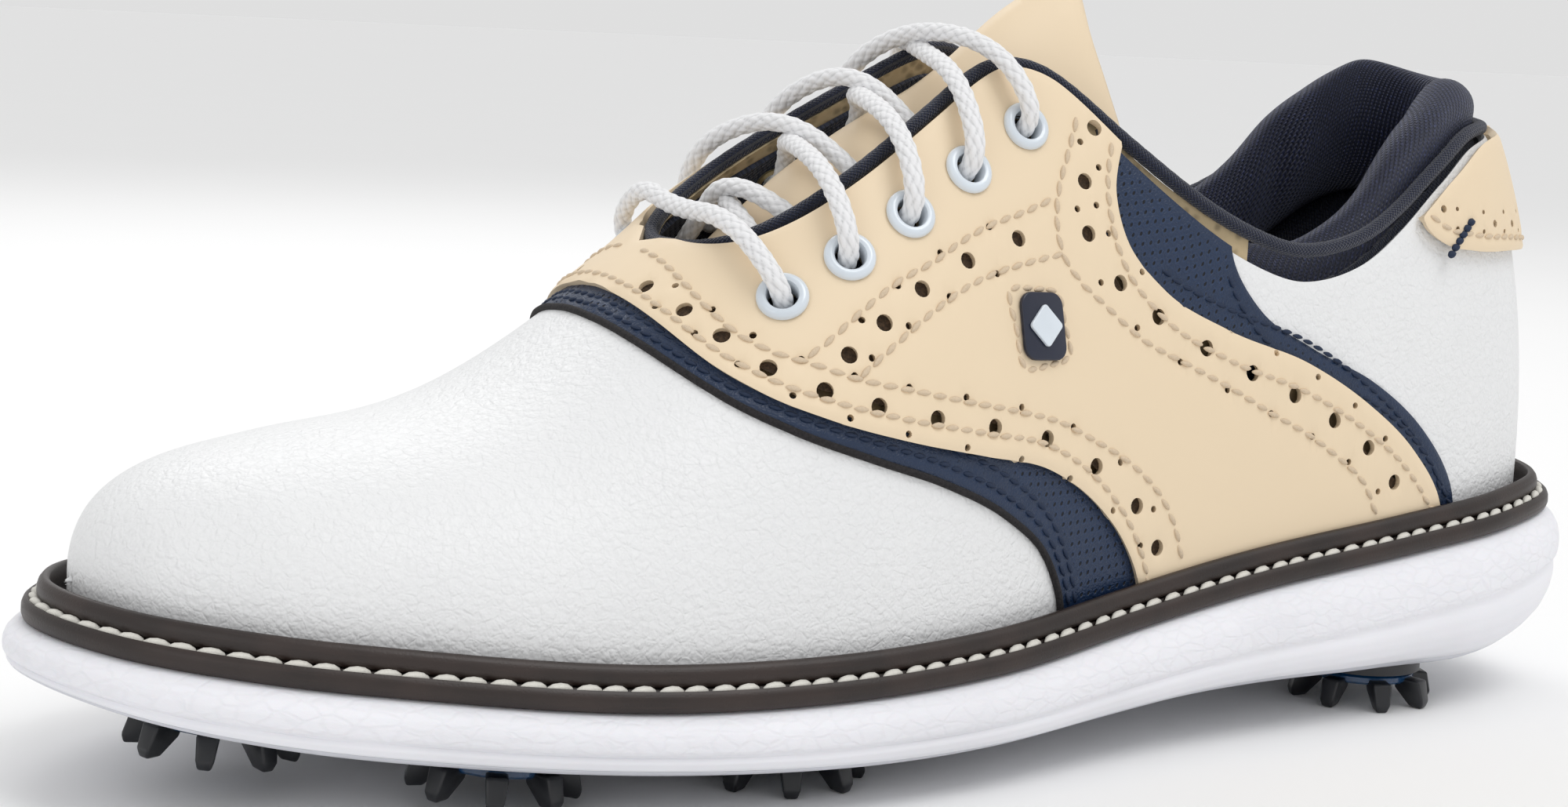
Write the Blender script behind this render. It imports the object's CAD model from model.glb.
"""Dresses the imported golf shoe: leather panels, stitching, lace, collar, welt, sole and spikes.

The geometry of the upper is worked out in millimetres on the shape of the last, in the frame of
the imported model, and every mesh is written in metres.
"""
from __future__ import annotations

import logging
import math
from dataclasses import dataclass, field
from enum import Enum
from typing import Iterable, Optional, Sequence, Union

import bpy
import numpy as np
from mathutils import Matrix, Vector
from mathutils.geometry import delaunay_2d_cdt

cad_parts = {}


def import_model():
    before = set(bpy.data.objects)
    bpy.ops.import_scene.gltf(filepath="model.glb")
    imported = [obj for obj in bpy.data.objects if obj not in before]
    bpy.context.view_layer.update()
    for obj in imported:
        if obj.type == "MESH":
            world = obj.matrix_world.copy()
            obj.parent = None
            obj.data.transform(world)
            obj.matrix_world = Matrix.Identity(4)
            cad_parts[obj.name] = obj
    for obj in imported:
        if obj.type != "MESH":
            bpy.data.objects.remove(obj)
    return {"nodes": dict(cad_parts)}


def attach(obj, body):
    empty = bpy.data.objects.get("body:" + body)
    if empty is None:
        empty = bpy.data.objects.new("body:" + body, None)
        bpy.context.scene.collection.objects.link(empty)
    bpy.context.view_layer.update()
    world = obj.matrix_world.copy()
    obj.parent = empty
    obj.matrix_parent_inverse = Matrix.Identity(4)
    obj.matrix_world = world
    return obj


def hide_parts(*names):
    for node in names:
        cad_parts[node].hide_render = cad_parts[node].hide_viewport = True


log = logging.getLogger("golf_shoe")

MM = 0.001
FAR = 9.0  # stands for any distance too large to matter
Points = np.ndarray
Pairs = Sequence[tuple[float, float]]


class Side(Enum):
    """Side of the shoe that a pattern line is drawn on."""

    LATERAL = -1
    MEDIAL = 1


# ---- curves ------------------------------------------------------------------------------------
def spline(points: Sequence[Sequence[float]], step: float, closed: bool = False) -> Points:
    """Smooth curve through points, cut into even steps.

    Args:
        points: Corners of the curve, of two or three numbers each.
        step: Distance between the curve's points.
        closed: Whether the last point joins the first.

    Returns:
        The curve's points; an open curve keeps both ends.
    """
    p = np.asarray(points, float)
    if closed:
        p = np.vstack([p[-2:], p, p[:3]])
    chord = np.maximum(np.linalg.norm(np.diff(p, axis=0), axis=1), 1e-6)
    t = np.concatenate([[0], np.cumsum(chord)])
    slope = np.gradient(p, t, axis=0, edge_order=1)
    first, last = (2, len(p) - 3) if closed else (0, len(p) - 1)
    fine = np.linspace(t[first], t[last], max(int((t[last] - t[first]) / step * 8), 40))
    k = np.clip(np.searchsorted(t, fine, side="right") - 1, 0, len(t) - 2)
    span = (t[k + 1] - t[k])[:, None]
    s = (fine - t[k])[:, None] / span
    curve = (
        p[k] * (1 + 2 * s) * (1 - s) ** 2
        + slope[k] * span * s * (1 - s) ** 2
        + p[k + 1] * s * s * (3 - 2 * s)
        + slope[k + 1] * span * s * s * (s - 1)
    )
    return even(curve, step)


def reach_of(line: Points) -> Points:
    """Length of a polyline up to each of its points."""
    return np.concatenate([[0], np.cumsum(np.linalg.norm(np.diff(line, axis=0), axis=1))])


def even(curve: Points, step: float) -> Points:
    """A polyline cut again into even steps of about the given length, with both ends kept."""
    length = reach_of(curve)
    count = max(int(round(length[-1] / step)), 1)
    at = np.linspace(0, length[-1], count + 1)
    return np.column_stack([np.interp(at, length, curve[:, i]) for i in range(curve.shape[1])])


def along(profile: Pairs, x: Union[float, Points]) -> Points:
    """Smooth value of a profile [(x, value), ...] at x, flat beyond its ends."""
    knots = np.asarray(profile, float)
    xs, vs = knots[:, 0], knots[:, 1]
    last = len(xs) - 1
    i = np.arange(last + 1)
    low, high = np.maximum(i - 1, 0), np.minimum(i + 1, last)
    slope = (vs[high] - vs[low]) / (xs[high] - xs[low])
    x = np.clip(x, xs[0], xs[-1])
    k = np.clip(np.searchsorted(xs, x, side="right") - 1, 0, last - 1)
    span = xs[k + 1] - xs[k]
    s = (x - xs[k]) / span
    return (
        vs[k] * (1 + 2 * s) * (1 - s) ** 2
        + slope[k] * span * s * (1 - s) ** 2
        + vs[k + 1] * s * s * (3 - 2 * s)
        + slope[k + 1] * span * s * s * (s - 1)
    )


def smooth(value: Points, low: float, high: float) -> Points:
    """Smooth step from 0 at low to 1 at high."""
    s = np.clip((value - low) / (high - low), 0, 1)
    return s * s * (3 - 2 * s)


def unit(vectors: Points) -> Points:
    """Vectors, one a row, scaled to length 1."""
    return vectors / np.maximum(np.linalg.norm(vectors, axis=-1, keepdims=True), 1e-9)


def nearest(points: Points, targets: Points) -> Points:
    """Distance from each point to the nearest target."""
    found = np.full(len(points), 1e9)
    for start in range(0, len(targets), 200):
        gaps = points[:, None, :] - targets[None, start:start + 200, :]
        found = np.minimum(found, np.sqrt((gaps ** 2).sum(axis=2)).min(axis=1))
    return found


def inside(points: Points, polygon: Points) -> Points:
    """Whether each point lies inside a closed polygon."""
    hit = np.zeros(len(points), bool)
    x, y = points[:, 0], points[:, 1]
    ends = np.roll(polygon, -1, axis=0)
    for (x0, y0), (x1, y1) in zip(polygon, ends):
        if y0 != y1:
            crosses = (y0 > y) != (y1 > y)
            hit ^= crosses & (x < (x1 - x0) * (y - y0) / (y1 - y0) + x0)
    return hit


# ---- meshes ------------------------------------------------------------------------------------
def deselect() -> None:
    """Leaves object mode with nothing selected."""
    if bpy.context.object and bpy.context.object.mode != "OBJECT":
        bpy.ops.object.mode_set(mode="OBJECT")
    bpy.ops.object.select_all(action="DESELECT")


def activate(piece: bpy.types.Object) -> None:
    """Makes one object the only selected and active one."""
    deselect()
    piece.select_set(True)
    bpy.context.view_layer.objects.active = piece


def apply_modifier(piece: bpy.types.Object, kind: str, **settings: object) -> None:
    """Adds a modifier with the given settings and applies it."""
    activate(piece)
    bpy.ops.object.modifier_add(type=kind)
    modifier = piece.modifiers[-1]
    for key, value in settings.items():
        setattr(modifier, key, value)
    bpy.ops.object.modifier_apply(modifier=modifier.name)


def shade(piece: bpy.types.Object, angle: float = 45.0) -> None:
    """Smooth shading, with edges sharper than the angle (in degrees) kept crisp."""
    activate(piece)
    bpy.ops.object.shade_smooth_by_angle(angle=math.radians(angle))


def merge(piece: bpy.types.Object, distance: float = 0.00001, outwards: bool = True) -> None:
    """Merges vertices that lie on one another and, if asked, turns all faces outwards."""
    activate(piece)
    bpy.ops.object.mode_set(mode="EDIT")
    bpy.ops.mesh.select_all(action="SELECT")
    bpy.ops.mesh.remove_doubles(threshold=distance)
    if outwards:
        bpy.ops.mesh.normals_make_consistent(inside=False)
    bpy.ops.object.mode_set(mode="OBJECT")


def linked(name: str, data: Optional[bpy.types.ID]) -> bpy.types.Object:
    """A new object of some data, linked to the scene."""
    made = bpy.data.objects.new(name, data)
    bpy.context.scene.collection.objects.link(made)
    return made


def turned(name: str, section: Pairs, closed: bool, steps: int) -> bpy.types.Object:
    """A body turned about Z from a section of (radius, height), at the origin."""
    count = len(section)
    edges = [(i, (i + 1) % count) for i in range(count if closed else count - 1)]
    mesh = bpy.data.meshes.new(name)
    mesh.from_pydata([(r, 0.0, z) for r, z in section], edges, [])
    piece = linked(name, mesh)
    activate(piece)
    bpy.ops.object.mode_set(mode="EDIT")
    bpy.ops.mesh.select_all(action="SELECT")
    bpy.ops.mesh.spin(steps=steps, angle=2 * math.pi, center=(0, 0, 0), axis=(0, 0, 1))
    bpy.ops.object.mode_set(mode="OBJECT")
    merge(piece, 0.001)
    return piece


def add_mesh(
    name: str,
    verts: Points,
    faces: Iterable[Sequence[int]],
    uv: Optional[Points] = None,
    values: Optional[dict[str, Points]] = None,
) -> bpy.types.Object:
    """A new mesh object.

    Args:
        name: Name of the piece.
        verts: Vertices in millimetres.
        faces: Vertex numbers of each face.
        uv: One pair a vertex, in centimetres on the piece's own surface.
        values: Point attributes by name.

    Returns:
        The object, linked to the scene.
    """
    mesh = bpy.data.meshes.new(name)
    mesh.from_pydata((np.asarray(verts) * MM).tolist(), [], [tuple(int(i) for i in f) for f in faces])
    mesh.validate()
    if uv is not None:
        layer = mesh.uv_layers.new(name="surface")
        corner = np.empty(len(mesh.loops), np.int32)
        mesh.loops.foreach_get("vertex_index", corner)
        layer.data.foreach_set("uv", np.asarray(uv, np.float32)[corner].ravel())
    for key, value in (values or {}).items():
        attribute = mesh.attributes.new(key, "FLOAT", "POINT")
        attribute.data.foreach_set("value", np.asarray(value, np.float32))
    return linked(name, mesh)


def grid_faces(
    rows: int, columns: int, wrap_rows: bool = False, wrap_columns: bool = False
) -> list[tuple[int, int, int, int]]:
    """Quads of a grid of rows x columns vertices, closed round where asked."""
    faces = []
    for i in range(rows if wrap_rows else rows - 1):
        for j in range(columns if wrap_columns else columns - 1):
            i1, j1 = (i + 1) % rows, (j + 1) % columns
            faces.append((i * columns + j, i * columns + j1, i1 * columns + j1, i1 * columns + j))
    return faces


def copies(name: str, pattern: bpy.types.Object, places: Points, frames: Points) -> bpy.types.Object:
    """One mesh made of a small pattern piece repeated at many places.

    Args:
        name: Name of the new piece.
        pattern: Piece modelled at the origin, in millimetres; it is removed.
        places: Origin of each copy, in millimetres.
        frames: For each copy the three axes of the pattern as rows.

    Returns:
        The new piece.
    """
    shape = np.array([v.co for v in pattern.data.vertices], float)
    faces = [tuple(p.vertices) for p in pattern.data.polygons]
    verts = (np.einsum("vk,nkc->nvc", shape, frames) + places[:, None, :]).reshape(-1, 3)
    count = len(shape)
    every = [tuple(i + n * count for i in f) for n in range(len(places)) for f in faces]
    bpy.data.objects.remove(pattern)
    return add_mesh(name, verts, every)


def finish_piece(
    piece: bpy.types.Object,
    body: str,
    finishes: Sequence["Finish"],
    replaced: Sequence[str] = (),
) -> bpy.types.Object:
    """Gives a piece its materials, its body and the CAD nodes it stands for."""
    piece.data.materials.clear()
    for finish in finishes:
        piece.data.materials.append(finish.material())
    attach(piece, body)
    if replaced:
        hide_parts(*replaced)
    log.info("%s: %d faces on %s", piece.name, len(piece.data.polygons), body)
    return piece


# ---- shader graphs -----------------------------------------------------------------------------
Input = Union["Value", float, tuple]


@dataclass(frozen=True)
class Value:
    """One socket of a shader graph; arithmetic on it adds Math nodes."""

    graph: "Graph"
    socket: bpy.types.NodeSocket

    def _math(self, operation: str, *parts: Input) -> "Value":
        """A Math node on one or two values."""
        return self.graph.node("ShaderNodeMath", {"operation": operation}, dict(enumerate(parts)))

    def __add__(self, other: Input) -> "Value":
        """Sum."""
        return self._math("ADD", self, other)

    def __radd__(self, other: Input) -> "Value":
        """Sum with a number on the left."""
        return self._math("ADD", other, self)

    def __sub__(self, other: Input) -> "Value":
        """Difference."""
        return self._math("SUBTRACT", self, other)

    def __rsub__(self, other: Input) -> "Value":
        """Difference from a number."""
        return self._math("SUBTRACT", other, self)

    def __mul__(self, other: Input) -> "Value":
        """Product."""
        return self._math("MULTIPLY", self, other)

    def __rmul__(self, other: Input) -> "Value":
        """Product with a number on the left."""
        return self._math("MULTIPLY", other, self)

    def __truediv__(self, other: Input) -> "Value":
        """Quotient."""
        return self._math("DIVIDE", self, other)

    def __pow__(self, other: Input) -> "Value":
        """Power."""
        return self._math("POWER", self, other)

    def sine(self) -> "Value":
        """Sine of the value."""
        return self._math("SINE", self)

    def absolute(self) -> "Value":
        """Size of the value without its sign."""
        return self._math("ABSOLUTE", self)

    def fraction(self) -> "Value":
        """Part of the value after the decimal point."""
        return self._math("FRACT", self)

    def floor(self) -> "Value":
        """Whole part of the value."""
        return self._math("FLOOR", self)

    def step(self, low: float, high: float) -> "Value":
        """Smooth step from 0 at low to 1 at high, or the other way when low is the higher."""
        ends = {"From Min": low, "From Max": high}
        if low > high:
            ends = {"From Min": high, "From Max": low, "To Min": 1.0, "To Max": 0.0}
        return self.graph.node(
            "ShaderNodeMapRange", {"interpolation_type": "SMOOTHSTEP"}, {"Value": self, **ends}
        )


class Graph:
    """A material's nodes, built up by one method."""

    def __init__(self, name: str) -> None:
        """Starts a material with a Principled shader.

        Args:
            name: Name of the material.
        """
        self.material = bpy.data.materials.new(name)
        self.material.use_nodes = True
        self.tree = self.material.node_tree
        self.shader = next(n for n in self.tree.nodes if n.type == "BSDF_PRINCIPLED")

    def node(
        self,
        kind: str,
        settings: Optional[dict] = None,
        inputs: Optional[dict] = None,
        output: Union[int, str] = 0,
    ) -> Value:
        """Adds a node.

        Args:
            kind: Node type.
            settings: Properties of the node, set before its sockets; "stops" fills a ramp.
            inputs: Values or links of its sockets, by name or number.
            output: Output socket to return.

        Returns:
            The node's output.
        """
        made = self.tree.nodes.new(kind)
        for key, setting in (settings or {}).items():
            if key == "stops":
                self._fill_ramp(made, setting)
            else:
                setattr(made, key, setting)
        for key, value in (inputs or {}).items():
            if isinstance(value, Value):
                self.tree.links.new(value.socket, made.inputs[key])
            else:
                made.inputs[key].default_value = value
        return Value(self, made.outputs[output])

    @staticmethod
    def _fill_ramp(made: bpy.types.Node, stops: Sequence[tuple[float, tuple]]) -> None:
        """Sets the stops of a colour ramp."""
        elements = made.color_ramp.elements
        while len(elements) < len(stops):
            elements.new(0.5)
        for element, (place, colour) in zip(elements, stops):
            element.position = place
            element.color = (*colour, 1.0)

    def surface(self, **inputs: Input) -> None:
        """Sets or links sockets of the Principled shader; _ stands for a space in a name."""
        for key, value in inputs.items():
            socket = self.shader.inputs[key.replace("_", " ")]
            if isinstance(value, Value):
                self.tree.links.new(value.socket, socket)
            elif isinstance(value, tuple):
                socket.default_value = (*value, 1.0)
            else:
                socket.default_value = value

    def place(self) -> Value:
        """Object coordinates, in metres."""
        return self.node("ShaderNodeTexCoord", output="Object")

    def surface_map(self) -> Value:
        """The piece's own map, in centimetres on its surface."""
        return self.node("ShaderNodeUVMap", {"uv_map": "surface"}, output="UV")

    def attribute(self, name: str) -> Value:
        """A point attribute of the piece."""
        return self.node("ShaderNodeAttribute", {"attribute_name": name}, output="Fac")

    def split(self, vector: Value) -> tuple[Value, Value]:
        """First two parts of a vector."""
        made = self.tree.nodes.new("ShaderNodeSeparateXYZ")
        self.tree.links.new(vector.socket, made.inputs[0])
        return Value(self, made.outputs[0]), Value(self, made.outputs[1])

    def stretch(self, vector: Value, scale: tuple[float, float, float], turn: float = 0.0) -> Value:
        """A vector scaled on each axis, then turned about Z by degrees."""
        return self.node(
            "ShaderNodeMapping",
            inputs={"Vector": vector, "Scale": scale, "Rotation": (0, 0, math.radians(turn))},
        )

    def noise(self, vector: Value, scale: float, detail: float = 3.0, rough: float = 0.5) -> Value:
        """Noise from 0 to 1."""
        ends = {"Vector": vector, "Scale": scale, "Detail": detail, "Roughness": rough}
        return self.node("ShaderNodeTexNoise", inputs=ends, output=0)

    def cells(self, vector: Value, scale: float, feature: str = "F1") -> Value:
        """Distance from cell points, or from cell edges."""
        return self.node(
            "ShaderNodeTexVoronoi",
            {"feature": feature},
            {"Vector": vector, "Scale": scale},
            output="Distance",
        )

    def mix(self, mask: Input, first: Union[Value, tuple], second: Union[Value, tuple]) -> Value:
        """Colour first where the mask is 0 and second where it is 1."""
        ends = [c if isinstance(c, Value) else (*c, 1.0) for c in (first, second)]
        return self.node(
            "ShaderNodeMix", {"data_type": "RGBA"}, {0: mask, 6: ends[0], 7: ends[1]}, output=2
        )

    def warp(self, vector: Value, scale: float, amount: float) -> Value:
        """A vector pushed about by noise."""
        pushed = self.node("ShaderNodeTexNoise", inputs={"Vector": vector, "Scale": scale}, output=1)
        shift = self.node(
            "ShaderNodeVectorMath", {"operation": "SCALE"}, {0: pushed, "Scale": amount}
        )
        return self.node("ShaderNodeVectorMath", {"operation": "ADD"}, {0: vector, 1: shift})

    def bump(self, height: Value, strength: float, depth: float) -> Value:
        """Normal of a surface raised by a height of 0 to 1 times a depth in millimetres."""
        return self.node(
            "ShaderNodeBump", inputs={"Height": height, "Strength": strength, "Distance": depth * MM}
        )


@dataclass(frozen=True)
class Finish:
    """A material of the shoe; each kind paints its own graph."""

    name: str
    colour: tuple[float, float, float]

    def material(self) -> bpy.types.Material:
        """The finish's material, built the first time that it is asked for."""
        found = bpy.data.materials.get(self.name)
        if found:
            return found
        graph = Graph(self.name)
        self.paint(graph)
        return graph.material

    def paint(self, graph: Graph) -> None:
        """Fills the graph with this finish's nodes."""
        raise NotImplementedError

    def tone(self, factor: float) -> tuple[float, float, float]:
        """The finish's colour, lighter or darker."""
        return tuple(min(c * factor, 1.0) for c in self.colour)


@dataclass(frozen=True)
class PebbledLeather(Finish):
    """Coated leather with a soft pebble grain."""

    grain: float = 760.0
    relief: float = 0.2

    def paint(self, graph: Graph) -> None:
        """Rounded cells of two sizes, with faint creases and a satin gloss."""
        spot = graph.warp(graph.place(), 260.0, 0.0009)
        coarse = graph.cells(spot, self.grain).step(0.75, 0.12)
        fine = graph.cells(spot, self.grain * 2.3).step(0.8, 0.1)
        crease = graph.cells(spot, self.grain * 0.62, "DISTANCE_TO_EDGE").step(0.0, 0.12)
        wave = graph.noise(graph.place(), 55.0, 2.0)
        height = coarse * 0.55 + fine * 0.3 + crease * 0.22 + wave * 0.5
        shade_of = graph.mix(crease * 0.25 + wave * 0.75, self.tone(0.96), self.tone(1.02))
        graph.surface(
            Base_Color=shade_of,
            Roughness=0.44 + crease * -0.08 + wave * 0.1,
            Normal=graph.bump(height, 0.75, self.relief),
            Specular_IOR_Level=0.42,
        )


@dataclass(frozen=True)
class Nubuck(Finish):
    """Brushed leather with a short nap, darker along cut edges and round holes."""

    def paint(self, graph: Graph) -> None:
        """Mottled nap with fine pores; the seams are pulled down and the cut edges burnished."""
        spot = graph.place()
        mottle = graph.noise(spot, 70.0, 4.0, 0.6)
        cloud = graph.noise(spot, 22.0, 2.0)
        nap = graph.noise(graph.warp(spot, 300.0, 0.0012), 1500.0, 3.0, 0.65)
        pores = graph.cells(spot, 1500.0).step(0.5, 0.05)
        colour = graph.mix(mottle.step(0.25, 0.75), self.tone(0.84), self.tone(1.12))
        colour = graph.mix(cloud.step(0.35, 0.75) * 0.45, colour, self.tone(0.8))
        colour = graph.mix(nap.step(0.45, 0.75) * 0.3, colour, self.tone(1.16))
        edge = graph.attribute("edge").step(1.1, 0.1)
        hole = graph.attribute("hole").step(0.9, 0.1)
        seam = graph.attribute("seam").step(1.6, 0.2)
        colour = graph.mix(hole * 0.45, colour, self.tone(0.52))
        colour = graph.mix(edge * 0.4, colour, self.tone(0.6))
        colour = graph.mix(seam * 0.16, colour, self.tone(0.7))
        height = nap * 0.55 + mottle * 0.35 - pores * 0.2 - seam * 0.6
        graph.surface(
            Base_Color=colour,
            Roughness=0.8 + nap * 0.15,
            Normal=graph.bump(height, 0.6, 0.22),
            Sheen_Weight=0.35,
            Sheen_Roughness=0.5,
            Specular_IOR_Level=0.25,
        )


@dataclass(frozen=True)
class CutEdge(Finish):
    """Raw cut edge of leather."""

    def paint(self, graph: Graph) -> None:
        """Loose fibres in two tones."""
        fibre = graph.noise(graph.stretch(graph.place(), (1.0, 1.0, 1.0)), 1900.0, 4.0, 0.7)
        graph.surface(
            Base_Color=graph.mix(fibre.step(0.35, 0.7), self.tone(0.6), self.tone(1.7)),
            Roughness=0.9,
            Normal=graph.bump(fibre, 0.8, 0.3),
        )


@dataclass(frozen=True)
class StripLeather(Finish):
    """Smooth coated leather with rows of tiny punched dots."""

    pitch: float = 0.19
    dot: float = 0.032

    def paint(self, graph: Graph) -> None:
        """Staggered dots on the piece's own map, a fine grain and a soft gloss."""
        across, down = graph.split(graph.stretch(graph.surface_map(), (1.0, 1.0, 1.0), 24.0))
        row = (down * (1.155 / self.pitch)).floor()
        shift = (row * 0.5).fraction()
        u = ((across / self.pitch + shift).fraction() - 0.5) * self.pitch
        v = ((down * (1.155 / self.pitch)).fraction() - 0.5) * (self.pitch / 1.155)
        away = (u * u + v * v) ** 0.5
        dot = away.step(self.dot * 1.35, self.dot * 0.55)
        lip = away.step(self.dot * 2.4, self.dot * 1.2) * (1 - dot)
        clear = graph.attribute("seam").step(0.9, 1.7) * graph.attribute("edge").step(1.2, 2.2)
        dot = dot * clear
        grain = graph.cells(graph.place(), 1400.0, "DISTANCE_TO_EDGE").step(0.0, 0.25)
        wave = graph.noise(graph.place(), 240.0, 3.0)
        seam = graph.attribute("seam").step(1.3, 0.1)
        colour = graph.mix(wave, self.tone(0.85), self.tone(1.25))
        colour = graph.mix(lip * clear * 0.35, colour, self.tone(2.2))
        colour = graph.mix(dot, colour, self.tone(0.12))
        graph.surface(
            Base_Color=colour,
            Roughness=0.36 + wave * 0.12 + dot * 0.4,
            Normal=graph.bump(grain * 0.25 + wave * 0.5 - dot * 1.6 - seam * 0.9, 0.7, 0.25),
            Specular_IOR_Level=0.5,
        )


@dataclass(frozen=True)
class Weave(Finish):
    """Cloth of crossed yarns on the piece's own map."""

    pitch: float = 0.055
    turn: float = 45.0
    relief: float = 0.25
    lift: float = 2.2

    def paint(self, graph: Graph) -> None:
        """Over-and-under yarns with fibres, lighter on their tops."""
        u, v = graph.split(graph.stretch(graph.surface_map(), (1.0, 1.0, 1.0), self.turn))
        rate = math.pi / self.pitch
        warp_yarn = (u * rate).sine()
        weft_yarn = (v * rate).sine()
        over = (warp_yarn * weft_yarn).step(-0.6, 0.6)
        yarn = over * warp_yarn.absolute() + (1 - over) * weft_yarn.absolute()
        fibre = graph.noise(graph.place(), 2600.0, 2.0)
        colour = graph.mix(yarn * (0.6 + fibre * 0.4), self.tone(0.45), self.tone(self.lift))
        graph.surface(
            Base_Color=colour,
            Roughness=0.62 + fibre * 0.25,
            Normal=graph.bump(yarn + fibre * 0.3, 0.9, self.relief),
            Sheen_Weight=0.25,
            Specular_IOR_Level=0.3,
        )


@dataclass(frozen=True)
class RibKnit(Finish):
    """Fine ribbed knit with a bright yarn."""

    pitch: float = 0.12

    def paint(self, graph: Graph) -> None:
        """Slanting ribs with small stitches; the tops of the ribs catch the light."""
        u, v = graph.split(graph.stretch(graph.surface_map(), (1.0, 1.0, 1.0), 28.0))
        rib = (u * (math.pi / self.pitch)).sine().absolute()
        stitch = (v * (math.pi / (self.pitch * 0.55)) + rib * 2.0).sine().absolute()
        fibre = graph.noise(graph.place(), 2300.0, 2.0, 0.6)
        spark = fibre.step(0.5, 0.72) * rib
        colour = graph.mix(rib * stitch, self.tone(0.35), self.tone(1.35))
        colour = graph.mix(spark * 0.65, colour, self.tone(5.0))
        graph.surface(
            Base_Color=colour,
            Roughness=0.55 - spark * 0.15,
            Normal=graph.bump(rib * 0.8 + stitch * 0.35 + fibre * 0.2, 0.9, 0.45),
            Sheen_Weight=0.15,
            Sheen_Tint=(0.45, 0.5, 0.75),
        )


@dataclass(frozen=True)
class Thread(Finish):
    """Twisted sewing thread."""

    def paint(self, graph: Graph) -> None:
        """Fine twist with a little fibre and wear."""
        fibre = graph.noise(graph.place(), 3200.0, 3.0, 0.6)
        cloud = graph.noise(graph.place(), 180.0, 2.0)
        colour = graph.mix(fibre, self.tone(0.72), self.tone(1.12))
        graph.surface(
            Base_Color=graph.mix(cloud * 0.3, colour, self.tone(0.8)),
            Roughness=0.6 + fibre * 0.2,
            Normal=graph.bump(fibre, 0.6, 0.12),
        )


@dataclass(frozen=True)
class BraidedCotton(Finish):
    """White braid of the lace; the mesh carries the braid's height."""

    def paint(self, graph: Graph) -> None:
        """Fibres along the yarns, darker in the hollows of the braid."""
        height = graph.attribute("braid")
        fibre = graph.noise(graph.stretch(graph.surface_map(), (60.0, 14.0, 1.0), 0.0), 3.0, 3.0)
        colour = graph.mix(height.step(0.0, 0.7), self.tone(0.72), self.colour)
        graph.surface(
            Base_Color=graph.mix(fibre.step(0.3, 0.8) * 0.2, colour, self.tone(0.82)),
            Roughness=0.78,
            Normal=graph.bump(height * 0.6 + fibre * 0.5, 0.6, 0.2),
            Sheen_Weight=0.3,
        )


@dataclass(frozen=True)
class Moulded(Finish):
    """Moulded plastic or rubber."""

    roughness: float = 0.3
    relief: float = 0.03
    grain: float = 900.0
    coat: float = 0.0
    clarity: float = 0.0

    def paint(self, graph: Graph) -> None:
        """Faint mould texture, handling marks and a gloss that varies a little."""
        fine = graph.noise(graph.place(), self.grain, 3.0)
        broad = graph.noise(graph.place(), 60.0, 2.0)
        graph.surface(
            Base_Color=graph.mix(broad.step(0.3, 0.7), self.tone(0.93), self.tone(1.05)),
            Roughness=self.roughness + (broad - 0.5) * 0.12 + fine * 0.05,
            Normal=graph.bump(fine + broad * 0.4, 0.5, self.relief),
            Coat_Weight=self.coat,
            Transmission_Weight=self.clarity,
        )


@dataclass(frozen=True)
class WeltRubber(Finish):
    """Dark welt strip with a leather-like skin and scuffed edges."""

    def paint(self, graph: Graph) -> None:
        """Fine pits, long faint drag lines and a semi-gloss."""
        spot = graph.place()
        drag = graph.noise(graph.stretch(graph.surface_map(), (0.5, 14.0, 1.0)), 1.4, 3.0)
        pits = graph.cells(spot, 1700.0).step(0.45, 0.1)
        broad = graph.noise(spot, 90.0, 3.0)
        colour = graph.mix(broad.step(0.3, 0.7), self.tone(0.7), self.tone(1.35))
        graph.surface(
            Base_Color=graph.mix(drag.step(0.5, 0.8) * 0.4, colour, self.tone(1.9)),
            Roughness=0.34 + drag * 0.2,
            Normal=graph.bump(drag * 0.6 - pits * 0.25 + broad * 0.2, 0.5, 0.12),
        )


@dataclass(frozen=True)
class SoleSkin(Finish):
    """White moulded sole: a creased leather-like upper band over a smooth lower one."""

    def paint(self, graph: Graph) -> None:
        """The piece's band value says where the creased skin is."""
        spot = graph.place()
        band = graph.attribute("band")
        stretched = graph.warp(graph.stretch(spot, (1.0, 1.0, 1.8)), 180.0, 0.0028)
        crease = graph.noise(stretched, 330.0, 4.0, 0.62)
        vein = graph.cells(stretched, 260.0, "DISTANCE_TO_EDGE").step(0.0, 0.16)
        fine = graph.noise(spot, 1500.0, 2.0)
        broad = graph.noise(spot, 35.0, 2.0)
        height = (crease * 0.9 + vein * 0.3) * band + fine * 0.05 + broad * 0.15
        colour = graph.mix(broad.step(0.3, 0.7), self.tone(0.97), self.tone(1.02))
        graph.surface(
            Base_Color=graph.mix((1 - vein) * band * 0.25, colour, self.tone(0.9)),
            Roughness=0.4 + band * 0.12 + crease * 0.08,
            Normal=graph.bump(height, 0.6, 0.3),
            Subsurface_Weight=0.04,
            Subsurface_Scale=0.002,
        )


@dataclass(frozen=True)
class Fibreboard(Finish):
    """Pressed fibre or cork, for the layers inside."""

    scale: float = 500.0

    def paint(self, graph: Graph) -> None:
        """Granules and fibres in two tones."""
        grain = graph.cells(graph.warp(graph.place(), 400.0, 0.001), self.scale)
        fibre = graph.noise(graph.place(), self.scale * 3, 3.0)
        graph.surface(
            Base_Color=graph.mix(grain.step(0.1, 0.6), self.tone(0.7), self.tone(1.25)),
            Roughness=0.85,
            Normal=graph.bump(grain * 0.6 + fibre * 0.4, 0.7, 0.3),
        )


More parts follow.
